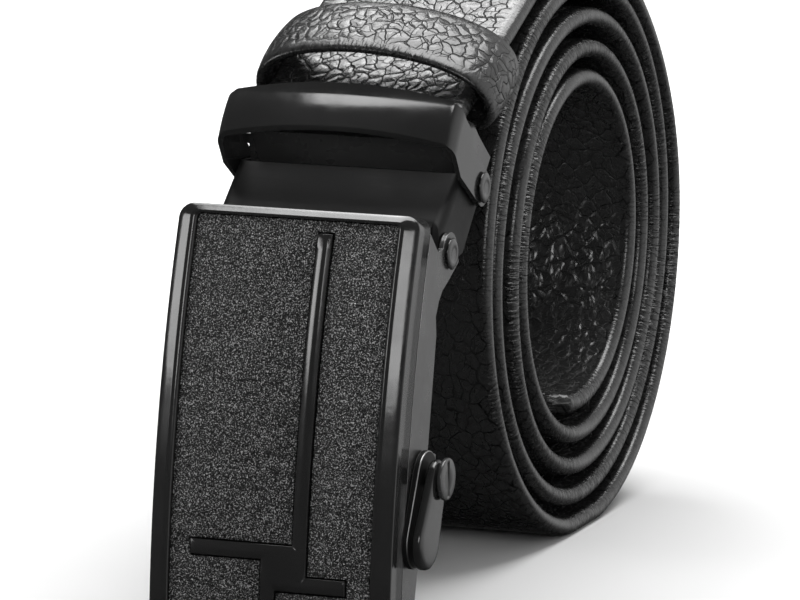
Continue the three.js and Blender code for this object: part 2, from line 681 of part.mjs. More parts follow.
// The shaft carries the button at its outer end and the pawl's blade in the middle
function buildShaft() {
  const end = -plateSide - BUTTON_THICKNESS;
  const blade = sidePlate([
    [leverSpot[0] - PAWL_LENGTH, leverSpot[1] - 1.2 * SHAFT_RADIUS],
    [leverSpot[0] - PAWL_LENGTH, leverSpot[1] - 0.5 * SHAFT_RADIUS],
    [leverSpot[0], leverSpot[1] + SHAFT_RADIUS * 0.8],
    [leverSpot[0], leverSpot[1] - SHAFT_RADIUS * 0.8],
  ], -PAWL_WIDTH / 2, PAWL_WIDTH / 2);
  return roundBar(...leverSpot, SHAFT_RADIUS, end, buttonSide + BUTTON_THICKNESS / 2)
    .add(roundBar(...leverSpot, BUTTON_RADIUS, buttonSide, buttonSide + BUTTON_THICKNESS))
    .add(roundBar(...leverSpot, 2 * SHAFT_RADIUS, end, -plateSide))
    .add(blade);
}

// The lean at which the cover's lower back edge is as far under the hinge as the hinge is over the floor
function buckleLean(hingeHeight) {
  const foot = [COVER_DEPTH + faceDrop(halfFace) - hingeSpot[0], -halfFace - hingeSpot[1]];
  const reach = Math.hypot(...foot);
  return Math.acos(Math.min(1, hingeHeight / reach)) - Math.atan2(-foot[0], -foot[1]);
}

// Assembly

const belt = new THREE.Group();
addPart(belt, 'strap', buildStrap(), LEATHER);
addPart(belt, 'ratchet_track', buildTrack(), PLASTIC);
addPart(belt, 'keeper_loop', buildKeeper(), LEATHER);
addPart(belt, 'clamp_hood', buildHood(), BLACK_METAL);
addPart(belt, 'clamp_jaw', buildJaw(), SATIN_METAL);
addPart(belt, 'clamp_rivet',
  buildRivet(...leadPoint(...clampHinge), halfBuckle, PIN_RADIUS, RIVET_RADIUS, RIVET_HEAD), SATIN_METAL);
addPart(belt, 'link_plate', buildLink(), SATIN_METAL);

const hinge = leadPoint(...buckleHinge);
const buckle = new THREE.Group();
addPart(buckle, 'buckle_housing', buildHousing(), SATIN_METAL);
addPart(buckle, 'face_cover', buildCover(), BLACK_METAL);
addPart(buckle, 'face_panel', buildPanel(), BLASTED_METAL);
addPart(buckle, 'buckle_rivet',
  buildRivet(...hingeSpot, housingHalf, PIN_RADIUS, RIVET_RADIUS, RIVET_HEAD), SATIN_METAL);
addPart(buckle, 'lever_plate', buildLeverPlate(), SATIN_METAL);
addPart(buckle, 'release_lever', buildLever(), BLACK_METAL);
addPart(buckle, 'lever_shaft', buildShaft(), SATIN_METAL);
const lean = buckleLean(hinge[1]);
buckle.rotation.x = -lean;
buckle.position.set(0, hinge[0], hinge[1]).sub(
  new THREE.Vector3(0, ...hingeSpot).applyEuler(buckle.rotation));
belt.add(buckle);

// The origin is under the middle of the whole belt
belt.updateMatrixWorld(true);
const bounds = new THREE.Box3().setFromObject(belt, true);
belt.position.set(-(bounds.min.x + bounds.max.x) / 2, -(bounds.min.y + bounds.max.y) / 2, -bounds.min.z);

export default belt;
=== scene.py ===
"""A black leather ratchet belt, rolled up and stood on its edge with its buckle hanging in front.

Lengths are in millimetres until a mesh is made. The roll's frame has its origin at the middle of the
roll, X to the right, Y away from the buckle's face and Z up.
"""

import math

import bmesh
import bpy
import numpy as np
from mathutils import Matrix, Vector


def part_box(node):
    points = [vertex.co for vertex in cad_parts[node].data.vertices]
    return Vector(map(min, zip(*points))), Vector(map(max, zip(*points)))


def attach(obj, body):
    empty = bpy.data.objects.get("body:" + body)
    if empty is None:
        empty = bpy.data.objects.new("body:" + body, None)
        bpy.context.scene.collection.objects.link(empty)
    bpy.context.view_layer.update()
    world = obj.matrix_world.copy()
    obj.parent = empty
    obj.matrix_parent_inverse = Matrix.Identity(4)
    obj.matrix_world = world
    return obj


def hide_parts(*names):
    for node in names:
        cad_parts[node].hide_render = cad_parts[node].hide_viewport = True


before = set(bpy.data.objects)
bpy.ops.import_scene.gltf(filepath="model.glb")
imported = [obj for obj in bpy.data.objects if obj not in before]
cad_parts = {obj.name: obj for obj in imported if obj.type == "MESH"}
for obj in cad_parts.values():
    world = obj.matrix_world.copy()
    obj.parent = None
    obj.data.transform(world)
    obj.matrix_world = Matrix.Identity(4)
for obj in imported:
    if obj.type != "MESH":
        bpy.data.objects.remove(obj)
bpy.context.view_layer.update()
MM = 0.001

# Sizes of the strap and the roll
STRAP_WIDTH = 35.0
STRAP_THICKNESS = 3.0
LAYER_GAP = 2.1
ROLL_RADIUS = 49.0
ROLL_TURNS = 4.54
LEAD_SLOPE = 24.0
LEAD_LENGTH = 45.0
REST_FLAT = 0.4

# Turns of the roll, and how far each drifts from an even spiral as a share of the layer gap
ROLL_TABLE = [
    (-LEAD_SLOPE / 360, 0.79), (0.11, -0.73), (0.25, 0.51), (0.375, 0.77), (0.5, 0.07),
    (0.625, -0.24), (0.75, -0.18), (0.875, 0.36), (1.0, 0.0), (1.25, -0.11), (1.5, 0.07),
    (1.75, 0.06), (2.0, -0.19), (2.25, 0.13), (2.5, 0.12), (2.6, -0.16), (2.75, -1.2),
    (3.0, -0.29), (3.25, -0.35), (3.5, 0.02), (3.75, -0.66), (4.0, -0.14), (4.25, -0.97),
    (4.4, -0.65), (4.6, 0.4),
]

# Sizes of the keeper, clamp and link
KEEPER_SETBACK = 9.0
KEEPER_LENGTH = 14.0
KEEPER_THICKNESS = 2.0
KEEPER_SIDE_ROOM = 1.0
KEEPER_RISE = 6.2
KEEPER_OFFSET = 0.6
KEEPER_ROLL = 3.5
KEEPER_CROWN = 0.6
SHEET = 0.8
CLEARANCE = 0.3
BUCKLE_WIDTH = 40.0
CLAMP_HINGE_SETBACK = 1.6
CLAMP_HINGE_DROP = 10.8
HOOD_ARCH_BACK = 1.3
HOOD_ARCH_LIP = 2.2
HOOD_CORNER = 2.6
HOOD_LENGTH = 7.5
HOOD_TILT = 29.6
HOOD_HEIGHT = 16.6
HOOD_FORWARD = 1.9
HOOD_SKIRT = 6.1
HOOD_BULGE = 0.35
EAR_RADIUS = 3.0
LINK_LENGTH = 16.4
LINK_DROP = 30.0
LINK_CORNER = 1.6
LINK_SHOULDER = 7.0
KNUCKLE_RADIUS = 4.1
JAW_LENGTH = 7.0
JAW_TAIL = 10.0
JAW_STEP = 3.8
JAW_WALL = 6.2
PIN_RADIUS = 1.1
RIVET_RADIUS = 2.5
RIVET_HEAD = 0.4

# Sizes of the buckle
FACE_LENGTH = 66.8
FACE_RADIUS = 205.0
FACE_CORNER = 2.4
RIM_WIDTH = 3.3
RIM_END_WIDTH = 1.5
RIM_HEIGHT = 0.9
RIM_BEVEL = 2.3
COVER_DEPTH = 5.0
COVER_PLATE = 2.2
COVER_WALL = 1.1
PANEL_DEPTH = 0.6
PANEL_THICKNESS = 0.8
HOUSING_DEPTH = 13.4
HOUSING_INSET = 0.1
HOUSING_NECK = 2.8
HINGE_BELOW_TOP = 5.0
HINGE_BEHIND_FACE = 16.8
HINGE_EAR = 3.3
LINK_ROOM = 12.0
BAR_WIDTH = 2.3
BAR_BEVEL = 0.85
BAR_SKEW = 0.3
BAR_RISE = 0.33
LONG_BAR_OFFSET = 4.9
SHORT_BAR_OFFSET = -0.2
LEFT_ARM_RISE = 12.3
RIGHT_ARM_RISE = 7.6
LEFT_ARM_MARGIN = 3.6
RIGHT_ARM_MARGIN = 4.1
LONG_BAR_MARGIN = 2.1
SHORT_BAR_MARGIN = 1.3
LEVER_BELOW_MIDDLE = 6.4
LEVER_BEHIND_FACE = 10.8
LEVER_LENGTH = 10.0
LEVER_FORWARD = 2.7
LEVER_RADIUS = 4.2
LEVER_PLATE = 1.0
LEVER_GAP = 0.8
PADDLE_THICKNESS = 1.6
SHAFT_RADIUS = 1.3
BUTTON_RADIUS = 3.3
BUTTON_THICKNESS = 0.7
PAWL_LENGTH = 4.4
PAWL_WIDTH = 24.0

# Room round the panel and round the bars, and how wide each kind of edge is rounded
PANEL_ROOM = 0.12
BAR_ROOM = 0.28
SHEET_EDGE = 0.2
LINK_EDGE = 0.16
PLATE_EDGE = 0.14
BLADE_EDGE = 0.15
BAR_EDGE = 0.07


# The roll's middle line

def roll_radius(turn):
    """A smooth radius through the table's turns, with straight ends."""
    times = [row[0] for row in ROLL_TABLE]
    pitch = STRAP_THICKNESS + LAYER_GAP
    values = [ROLL_RADIUS - pitch * t + LAYER_GAP * d for t, d in ROLL_TABLE]
    i = 1
    while i < len(times) - 1 and turn >= times[i]:
        i += 1
    t0, t1 = times[i - 1], times[i]
    before, t_before = (i - 2, times[i - 2]) if i >= 2 else (i, t1)
    after, t_after = (i + 1, times[i + 1]) if i + 1 < len(times) else (i - 1, t0)
    half = (t1 - t0) / 2
    wp, wn = half / (t0 - t_before), half / (t_after - t1)
    p = (turn - t0) / (t1 - t0)
    sp = -wp * p ** 3 + 2 * wp * p ** 2 - wp * p
    s0 = (1 + wp) * p ** 3 + (-1.5 - 2 * wp) * p ** 2 + (-0.5 + wp) * p + 1
    s1 = (-1 - wn) * p ** 3 + (1.5 + wn) * p ** 2 + 0.5 * p
    sn = wn * p ** 3 - wn * p ** 2
    return sp * values[before] + s0 * values[i - 1] + s1 * values[i] + sn * values[after]


LEAVE_TURN = ROLL_TABLE[0][0]
REST_RADIUS = roll_radius(0.5) - REST_FLAT
LEAVE = np.array([math.sin(2 * math.pi * LEAVE_TURN), math.cos(2 * math.pi * LEAVE_TURN)])
LEAVE = LEAVE * roll_radius(LEAVE_TURN)
SLOPE = math.radians(LEAD_SLOPE)
ALONG = np.array([-math.cos(SLOPE), -math.sin(SLOPE)])
OUT = np.array([ALONG[1], -ALONG[0]])


def lead_point(along, out):
    """A [y, z] point by its distance along the lead and its height over the strap's middle."""
    return LEAVE + along * ALONG + out * OUT


def line_point(turn):
    """A [y, z] point of the belt's middle line; the lead counts as turns before the leaving one."""
    along = (LEAVE_TURN - turn) * 2 * math.pi * ROLL_RADIUS
    if along > 0:
        return lead_point(along, 0)
    radius, angle = roll_radius(turn), 2 * math.pi * turn
    return np.array([radius * math.sin(angle), max(radius * math.cos(angle), -REST_RADIUS)])


strap_low, strap_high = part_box("strap")
ROLL_X = (strap_low.x + strap_high.x) / 2 / MM
hinge_low, hinge_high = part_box("clamp_rivet")
clamp_hinge = [LEAD_LENGTH - CLAMP_HINGE_SETBACK, -CLAMP_HINGE_DROP]
clamp_yz = lead_point(*clamp_hinge)
ROLL_Y = (hinge_low.y + hinge_high.y) / 2 / MM - clamp_yz[0]
ROLL_Z = (hinge_low.z + hinge_high.z) / 2 / MM - clamp_yz[1]
ORIGIN = np.array([ROLL_X, ROLL_Y, ROLL_Z])

# Places along the lead
hood_back = np.array([clamp_hinge[0] + HOOD_FORWARD, clamp_hinge[1] + HOOD_HEIGHT])
hood_along = np.array([math.cos(math.radians(HOOD_TILT)), -math.sin(math.radians(HOOD_TILT))])
hood_front = hood_back + HOOD_LENGTH * hood_along
link_slope = math.radians(LINK_DROP - LEAD_SLOPE)
buckle_hinge = [clamp_hinge[0] + LINK_LENGTH * math.cos(link_slope),
                clamp_hinge[1] - LINK_LENGTH * math.sin(link_slope)]
LINK_HALF = BUCKLE_WIDTH / 2 - SHEET - CLEARANCE
JAW_HALF = LINK_HALF - SHEET - CLEARANCE

# Places on the buckle, whose own frame has its origin at the middle of the face
HALF_FACE = FACE_LENGTH / 2
HALF_BUCKLE = BUCKLE_WIDTH / 2
PANEL_HALF_WIDTH = HALF_BUCKLE - RIM_WIDTH
PANEL_HALF_LENGTH = HALF_FACE - RIM_END_WIDTH
HINGE = np.array([HINGE_BEHIND_FACE, HALF_FACE - HINGE_BELOW_TOP])
LEVER = np.array([LEVER_BEHIND_FACE, -LEVER_BELOW_MIDDLE])
HOUSING_HALF = HALF_BUCKLE - HOUSING_INSET
HOUSING_INNER = HALF_BUCKLE - COVER_WALL - CLEARANCE
HOUSING_END = HALF_FACE - COVER_WALL - CLEARANCE


def face_drop(z):
    return FACE_RADIUS - math.sqrt(FACE_RADIUS ** 2 - z ** 2)


hinge_yz = lead_point(*buckle_hinge)
foot = np.array([COVER_DEPTH + face_drop(HALF_FACE) - HINGE[0], -HALF_FACE - HINGE[1]])
hinge_height = hinge_yz[1] + REST_RADIUS + STRAP_THICKNESS / 2
LEAN = math.acos(min(1, hinge_height / np.hypot(*foot))) - math.atan2(-foot[0], -foot[1])


def from_buckle(points):
    """Points of the buckle's own frame, in the roll's frame."""
    points = np.asarray(points, float)
    y, z = points[:, 1] - HINGE[0], points[:, 2] - HINGE[1]
    out = points.copy()
    out[:, 1] = hinge_yz[0] + y * math.cos(LEAN) + z * math.sin(LEAN)
    out[:, 2] = hinge_yz[1] - y * math.sin(LEAN) + z * math.cos(LEAN)
    return out


# Meshes

def new_object(name, points, faces, smooth=True):
    """An object from points in the roll's frame."""
    mesh = bpy.data.meshes.new(name)
    world = (np.asarray(points, float) + ORIGIN) * MM
    mesh.from_pydata([tuple(p) for p in world], [], faces)
    mesh.validate()
    mesh.update()
    if smooth:
        mesh.shade_smooth()
    obj = bpy.data.objects.new(name, mesh)
    bpy.context.scene.collection.objects.link(obj)
    return obj


def recalculate(obj):
    bm = bmesh.new()
    bm.from_mesh(obj.data)
    bmesh.ops.recalc_face_normals(bm, faces=bm.faces)
    bm.to_mesh(obj.data)
    bm.free()


def apply_modifiers(obj):
    depsgraph = bpy.context.evaluated_depsgraph_get()
    mesh = bpy.data.meshes.new_from_object(obj.evaluated_get(depsgraph))
    obj.modifiers.clear()
    old = obj.data
    obj.data = mesh
    bpy.data.meshes.remove(old)


def ring_points(rings):
    """Faces of a closed tube through rings of equal length, with flat ends."""
    count, size = rings.shape[:2]
    faces = []
    for i in range(count - 1):
        for j in range(size):
            a, b = i * size + j, i * size + (j + 1) % size
            faces.append((a, b, b + size, a + size))
    faces.append(tuple(range(size))[::-1])
    faces.append(tuple((count - 1) * size + j for j in range(size)))
    return rings.reshape(-1, 3), faces


def prism(name, outline, x0, x1, to_roll=None):
    """An outline of [y, z] points, spanning x0 to x1."""
    rings = np.array([[[x, y, z] for y, z in outline] for x in (x0, x1)])
    points, faces = ring_points(rings)
    obj = new_object(name, to_roll(points) if to_roll else points, faces)
    recalculate(obj)
    return obj


def boolean(obj, other, operation):
    modifier = obj.modifiers.new("cut", "BOOLEAN")
    modifier.operation = operation
    modifier.solver = "EXACT"
    modifier.object = other
    apply_modifiers(obj)
    mesh = other.data
    bpy.data.objects.remove(other)
    bpy.data.meshes.remove(mesh)
    return obj


def soften(obj, width, segments=3, angle=35, wear_and_highlight=False):
    """Rounds an object's sharp edges by a width in millimetres; when asked, the rounded edges take the
    second material, a pale metal that paints highlight lines along them as well as showing wear.
    """
    if wear_and_highlight:
        # The first slot takes the piece's own look when it is dressed
        obj.data.materials.append(edge_highlight_look)
        obj.data.materials.append(edge_highlight_look)
    modifier = obj.modifiers.new("soft", "BEVEL")
    # The second material paints a highlight line along each rounded edge
    modifier.material = 1 if wear_and_highlight else -1
    modifier.width = width * MM
    modifier.segments = segments
    modifier.limit_method = "ANGLE"
    modifier.angle_limit = math.radians(angle)
    modifier.harden_normals = True
    modifier.use_clamp_overlap = True
    apply_modifiers(obj)
    for polygon in obj.data.polygons:
        polygon.use_smooth = True
    return obj


def arc(centre, radius, start, end, sides):
    angles = np.radians(np.linspace(start, end, sides + 1))
    return [[centre[0] + radius * math.cos(a), centre[1] + radius * math.sin(a)] for a in angles]


def rounded_rectangle(half_x, half_z, corner, sides=8, steps=24):
    """A loop with the same number of points whatever its size, so that loops can be joined."""
    x, z = half_x - corner, half_z - corner
    corners = [([x, z], 0), ([-x, z], 90), ([-x, -z], 180), ([x, -z], 270)]
    loop = []
    for i, (centre, start) in enumerate(corners):
        points = arc(centre, corner, start, start + 90, sides)
        loop.extend(points)
        following, begin = corners[(i + 1) % 4]
        first = arc(following, corner, begin, begin + 90, sides)[0]
        for k in range(1, steps):
            share = k / steps
            loop.append([points[-1][0] + share * (first[0] - points[-1][0]),
                         points[-1][1] + share * (first[1] - points[-1][1])])
    return np.array(loop)


def teardrop(first, first_radius, second, second_radius, sides=24):
    dx, dz = second[0] - first[0], second[1] - first[1]
    heading = math.degrees(math.atan2(dz, dx))
    spread = math.degrees(math.acos((first_radius - second_radius) / math.hypot(dx, dz)))
    return (arc(first, first_radius, heading + spread, heading - spread + 360, sides)
            + arc(second, second_radius, heading - spread, heading + spread, sides))


def lathe(name, profile, sides, centre, to_roll=None):
    """A profile of [radius, x] points turned about a line along X through a [y, z] centre."""
    rings = []
    for radius, x in profile:
        angles = np.linspace(0, 2 * math.pi, sides, endpoint=False)
        ring = [[x, centre[0] + radius * math.cos(a), centre[1] + radius * math.sin(a)] for a in angles]
        rings.append(ring)
    points, faces = ring_points(np.array(rings))
    obj = new_object(name, to_roll(points) if to_roll else points, faces)
    recalculate(obj)
    return obj


def joined(name, objects):
    """Several objects as one mesh."""
    bm = bmesh.new()
    for obj in objects:
        bm.from_mesh(obj.data)
    mesh = bpy.data.meshes.new(name)
    bm.to_mesh(mesh)
    bm.free()
    for obj in objects:
        data = obj.data
        bpy.data.objects.remove(obj)
        bpy.data.meshes.remove(data)
    result = bpy.data.objects.new(name, mesh)
    bpy.context.scene.collection.objects.link(result)
    mesh.shade_smooth()
    return result


# Leather

def leather_ring(half_width, half_thickness, edge, flats, rounds):
    """The strap's section: [x, out] points, with how much each belongs to the rounded edge."""
    points, edges = [], []
    flat = half_width - edge
    for side, start in ((1, -90), (-1, 90)):
        for x in np.linspace(-side * flat, side * flat, flats + 1)[:-1]:
            if side > 0:
                points.append([x, -half_thickness])
            else:
                points.append([x, half_thickness])
            edges.append(max(0, abs(x) - flat + 3) / 6)
        for a in np.radians(np.linspace(start, start + 180, rounds + 1)[:-1]):
            points.append([side * flat + edge * math.cos(a), half_thickness * math.sin(a)])
            edges.append(0.5 + 0.5 * abs(math.cos(a)))
    return np.array(points), np.array(edges)


def add_leather_data(obj, section, centres, edges, lap=0.0):
    """A UV map in millimetres, round the section and along the strap, and the edge share of each point.

    A face that closes the section, or a loop with a lap, is mapped past the end instead of back to 0.
    """
    steps = [np.linalg.norm(np.diff(line, axis=0), axis=1) for line in (section, centres)]
    around, lengths = [np.concatenate([[0], np.cumsum(step)]) for step in steps]
    turn = around[-1] + np.linalg.norm(section[0] - section[-1])
    rows, size = len(centres), len(section)
    uv = obj.data.uv_layers.new(name="UVMap")
    for polygon in obj.data.polygons:
        vertices = [obj.data.loops[i].vertex_index for i in polygon.loop_indices]
        at = [divmod(v, size) for v in vertices]
        span_rows, span_columns = [max(line) - min(line) for line in zip(*at)]
        far = lap and span_rows > rows / 2
        wraps = span_columns > size / 2 and len(vertices) == 4
        for i, (row, column) in zip(polygon.loop_indices, at):
            u = around[column] + (turn if wraps and column < size / 2 else 0)
            along = lengths[row] + (lap if far and row < rows / 2 else 0)
            uv.data[i].uv = (u, along)
    attribute = obj.data.attributes.new("edge", "FLOAT", "POINT")
    attribute.data.foreach_set("value", np.tile(edges, rows).astype(np.float32))


# How much of a turn lies between the strap's sections
STRAP_STEP = 0.0055


def build_strap():
    start = LEAVE_TURN - LEAD_LENGTH / (2 * math.pi * ROLL_RADIUS)
    turns = list(np.arange(start, ROLL_TURNS, STRAP_STEP))
    turns.append(ROLL_TURNS)
    centres = np.array([line_point(t) for t in turns])
    tangents = np.gradient(centres, axis=0)
    tangents /= np.linalg.norm(tangents, axis=1)[:, None]
    section, edges = leather_ring(STRAP_WIDTH / 2, STRAP_THICKNESS / 2, 1.5, 14, 12)
    rings = np.zeros((len(turns), len(section), 3))
    for i, (centre, tangent) in enumerate(zip(centres, tangents)):
        normal = np.array([-tangent[1], tangent[0]])
        rings[i, :, 0] = section[:, 0]
        rings[i, :, 1:] = centre + section[:, 1:2] * normal
    points, faces = ring_points(rings)
    obj = new_object("strap_leather", points, faces)
    add_leather_data(obj, section, centres, edges)
    recalculate(obj)
    return obj


def keeper_loop_line(half, top, bottom, corner, arch_steps=48):
    """The keeper's outline as [x, out] points: a flat underside and an arched top."""
    shoulder = bottom + corner
    points = []
    for angle in np.linspace(0, math.pi, arch_steps + 1):
        points.append([half * math.cos(angle), shoulder + (top - shoulder) * max(0, math.sin(angle)) ** 0.8])
    points += arc([corner - half, shoulder], corner, 180, 270, 8)[1:]
    for x in np.linspace(corner - half, half - corner, 17)[1:-1]:
        points.append([x, bottom])
    points += arc([half - corner, shoulder], corner, 270, 360, 8)[:-1]
    return np.array(points)


def build_keeper():
    half = STRAP_WIDTH / 2 + KEEPER_SIDE_ROOM
    top = STRAP_THICKNESS / 2 + KEEPER_RISE
    roll = math.radians(KEEPER_ROLL)
    bottom = -STRAP_THICKNESS / 2 - CLEARANCE - STRAP_WIDTH / 2 * math.sin(roll)
    wall = KEEPER_THICKNESS
    inner = keeper_loop_line(half, top, bottom, wall)
    outer = keeper_loop_line(half + wall, top + wall, bottom - wall, 2 * wall)
    middle = (inner + outer) / 2
    spread = (outer - inner) / 2
    # The band's section, across its width and thickness, runs round the loop
    section, edges = leather_ring(KEEPER_LENGTH / 2, 1.0, 1.0, 10, 10)
    crowned = section[:, 1] > 0
    section[crowned, 1] *= 1 - KEEPER_CROWN * (2 * section[crowned, 0] / KEEPER_LENGTH) ** 2
    rows, size = len(middle), len(section)
    rings = np.zeros((rows, size, 3))
    for i in range(rows):
        for j, (across, out) in enumerate(section):
            along = LEAD_LENGTH - KEEPER_SETBACK - KEEPER_LENGTH / 2 - across
            x, height = middle[i] + out * spread[i]
            turned = x * math.cos(roll) + height * math.sin(roll)
            height = height * math.cos(roll) - x * math.sin(roll)
            rings[i, j] = [turned + KEEPER_OFFSET, *lead_point(along, height)]
    faces = []
    for i in range(rows):
        for j in range(size):
            a, b = i * size + j, i * size + (j + 1) % size
            c, d = (i + 1) % rows * size + (j + 1) % size, (i + 1) % rows * size + j
            faces.append((a, b, c, d))
    obj = new_object("keeper_leather", rings.reshape(-1, 3), faces)
    lap = np.linalg.norm(np.diff(middle, axis=0, append=middle[:1]), axis=1).sum()
    add_leather_data(obj, section, middle, edges, lap)
    recalculate(obj)
    return obj


# Sheet metal of the clamp and link

def crown(half, lift, radius, arch, half_width):
    """The right half of a channel's top: a rounded corner, then the arched web to the middle."""
    arched = lambda x: arch * (1 - (x / half_width) ** 2)
    start = half - radius
    points = arc([start, lift - radius + arched(start)], radius, 0, 90, 8)
    points += [[x, lift + arched(x)] for x in np.linspace(start, 0, 9)[1:]]
    return points


def channel_section(half_width, wall, corner, arch, legs):
    outer = crown(half_width, 0, corner, arch, half_width)
    inner = crown(half_width - wall, -wall, corner - wall, arch, half_width)
    right = [[half_width, -legs]] + outer
    inside = [[half_width - wall, -legs]] + inner
    mirrored = lambda points: [[-x, z] for x, z in points][::-1]
    return np.array(right + mirrored(right)[1:] + (inside + mirrored(inside)[1:])[::-1])


def cut_sheet(name, section_at, start, end, outline, bulge=0.0):
    """A channel whose web runs between two lead points, cut to a side outline of lead points."""
    start, end = np.array(start, float), np.array(end, float)
    step = (end - start) / np.linalg.norm(end - start)
    normal = np.array([-step[1], step[0]])
    length = np.linalg.norm(end - start)
    reaches = np.concatenate([[-30], np.linspace(0, length, 13), [length + 30]])
    rings = []
    for reach in reaches:
        share = 2 * reach / length - 1
        lift = bulge * (1 - share ** 2) if abs(share) < 1 else 0
        at = start + reach * step
        section = section_at(min(1.0, max(0.0, reach / length)))
        rings.append([[x, *lead_point(*(at + (out + lift) * normal))] for x, out in section])
    points, faces = ring_points(np.array(rings))
    obj = new_object(name, points, faces)
    recalculate(obj)
    sides = [lead_point(*p) for p in outline]
    return boolean(obj, prism("outline", sides, -BUCKLE_WIDTH, BUCKLE_WIDTH), "INTERSECT")


def build_hood():
    """The hood's web arches more at its lip than at its back edge."""
    def section_at(share):
        arch = HOOD_ARCH_BACK + share * (HOOD_ARCH_LIP - HOOD_ARCH_BACK)
        return channel_section(HALF_BUCKLE, SHEET, HOOD_CORNER, arch, HOOD_HEIGHT + HOOD_LENGTH)

    crown_height = HOOD_ARCH_LIP + HOOD_BULGE + SHEET
    outline = [
        *arc(clamp_hinge, EAR_RADIUS, 147, 310, 24),
        [hood_front[0] - SHEET, hood_front[1] - HOOD_SKIRT], hood_front,
        [hood_front[0], hood_front[1] + crown_height],
        [hood_back[0] - crown_height / 2, hood_back[1] + crown_height], hood_back,
        [hood_back[0], hood_back[1] - HOOD_CORNER],
        [clamp_hinge[0], hood_back[1] - 0.4 * HOOD_HEIGHT],
        [clamp_hinge[0] + 0.3 * EAR_RADIUS, hood_back[1] - 0.5 * HOOD_HEIGHT],
    ]
    shell = cut_sheet("hood_shell", section_at, hood_back, hood_front, outline, HOOD_BULGE)
    return soften(shell, SHEET_EDGE, wear_and_highlight=True)


def build_jaw():
    top = -STRAP_THICKNESS / 2 - CLEARANCE
    section = channel_section(JAW_HALF, SHEET, LINK_CORNER, 0, HOOD_HEIGHT + EAR_RADIUS)
    front = LEAD_LENGTH - CLEARANCE
    back = LEAD_LENGTH - JAW_LENGTH
    tail = clamp_hinge[0] - JAW_TAIL
    outline = [
        [front, top], [back, top], [back - 0.2 * JAW_LENGTH, top - JAW_STEP],
        [tail, clamp_hinge[1] - 0.3 * EAR_RADIUS],
        [tail + 0.8 * EAR_RADIUS, clamp_hinge[1] - 0.6 * EAR_RADIUS],
        *arc(clamp_hinge, EAR_RADIUS - CLEARANCE, 250, 380, 16),
    ]
    inset = 0.75 * SHEET
    jaw = cut_sheet("jaw_plate", lambda share: section, [back, top], [front, top], outline)
    for half, depth in ((JAW_HALF - inset, JAW_WALL), (LINK_HALF, 0.4 * JAW_WALL)):
        wall = [[front, top - inset], [front - SHEET, top - inset], [front - SHEET, top - depth],
                [front, top - depth]]
        boolean(jaw, prism("jaw_wall", [lead_point(*p) for p in wall], -half, half), "UNION")
    return soften(jaw, SHEET_EDGE)


def build_link():
    """The link's web runs tangent to a curl round the buckle's rivet."""
    section = channel_section(LINK_HALF, SHEET, LINK_CORNER, 0, LINK_LENGTH)
    top = np.array([clamp_hinge[0] + 0.69 * LINK_SHOULDER, clamp_hinge[1] + 0.79 * LINK_SHOULDER])
    reach = np.array(buckle_hinge) - top
    slope = math.atan2(reach[1], reach[0]) + math.asin(KNUCKLE_RADIUS / math.hypot(*reach))
    web = np.array([math.cos(slope), math.sin(slope)])
    curl = math.degrees(slope) + 90
    foot_place = np.array(arc(buckle_hinge, KNUCKLE_RADIUS, curl, curl, 1)[0]) - 0.85 * EAR_RADIUS * web
    outline = [
        *arc(clamp_hinge, EAR_RADIUS - CLEARANCE, 100, 230, 16),
        [clamp_hinge[0] + EAR_RADIUS / 2, clamp_hinge[1] - EAR_RADIUS],
        [buckle_hinge[0] - LINK_SHOULDER, buckle_hinge[1] - 1.5 * EAR_RADIUS],
        *arc(buckle_hinge, EAR_RADIUS, 260, 410, 20),
        foot_place, top,
    ]
    link = cut_sheet("link_sheet", lambda share: section, top, foot_place, outline)
    back = foot_place - SHEET * web
    tab = [back, *arc(buckle_hinge, KNUCKLE_RADIUS, curl, 0, 20),
           *arc(buckle_hinge, KNUCKLE_RADIUS - SHEET, 0, curl, 20),
           back + SHEET * np.array([web[1], -web[0]])]
    half = LINK_HALF - 2 * SHEET
    boolean(link, prism("link_tab", [lead_point(*p) for p in tab], -half, half), "UNION")
    return soften(link, LINK_EDGE, wear_and_highlight=True)


def build_rivet(name, centre, half_span, to_roll=None):
    """A pin with a domed head at each side."""
    r, h = RIVET_RADIUS, RIVET_HEAD
    base = half_span + CLEARANCE
    # Each row is a share of the head's radius and of its height, from the rim to the dished middle
    dome = [(0.97, 0), (1, 0.25), (0.93, 0.62), (0.75, 0.88), (0.5, 1), (0.46, 0.86), (0.3, 0.8),
            (0.008, 0.8)]
    profile = [[PIN_RADIUS, base]] + [[r * across, base + h * up] for across, up in dome]
    profile = [[radius, -x] for radius, x in profile[::-1]] + profile
    return lathe(name, profile, 40, centre, to_roll)


# Buckle

def on_face(points):
    """[x, z, height over the face's edge line] points, in the buckle's own frame."""
    return np.array([[x, face_drop(z) - height, z] for x, z, height in points])


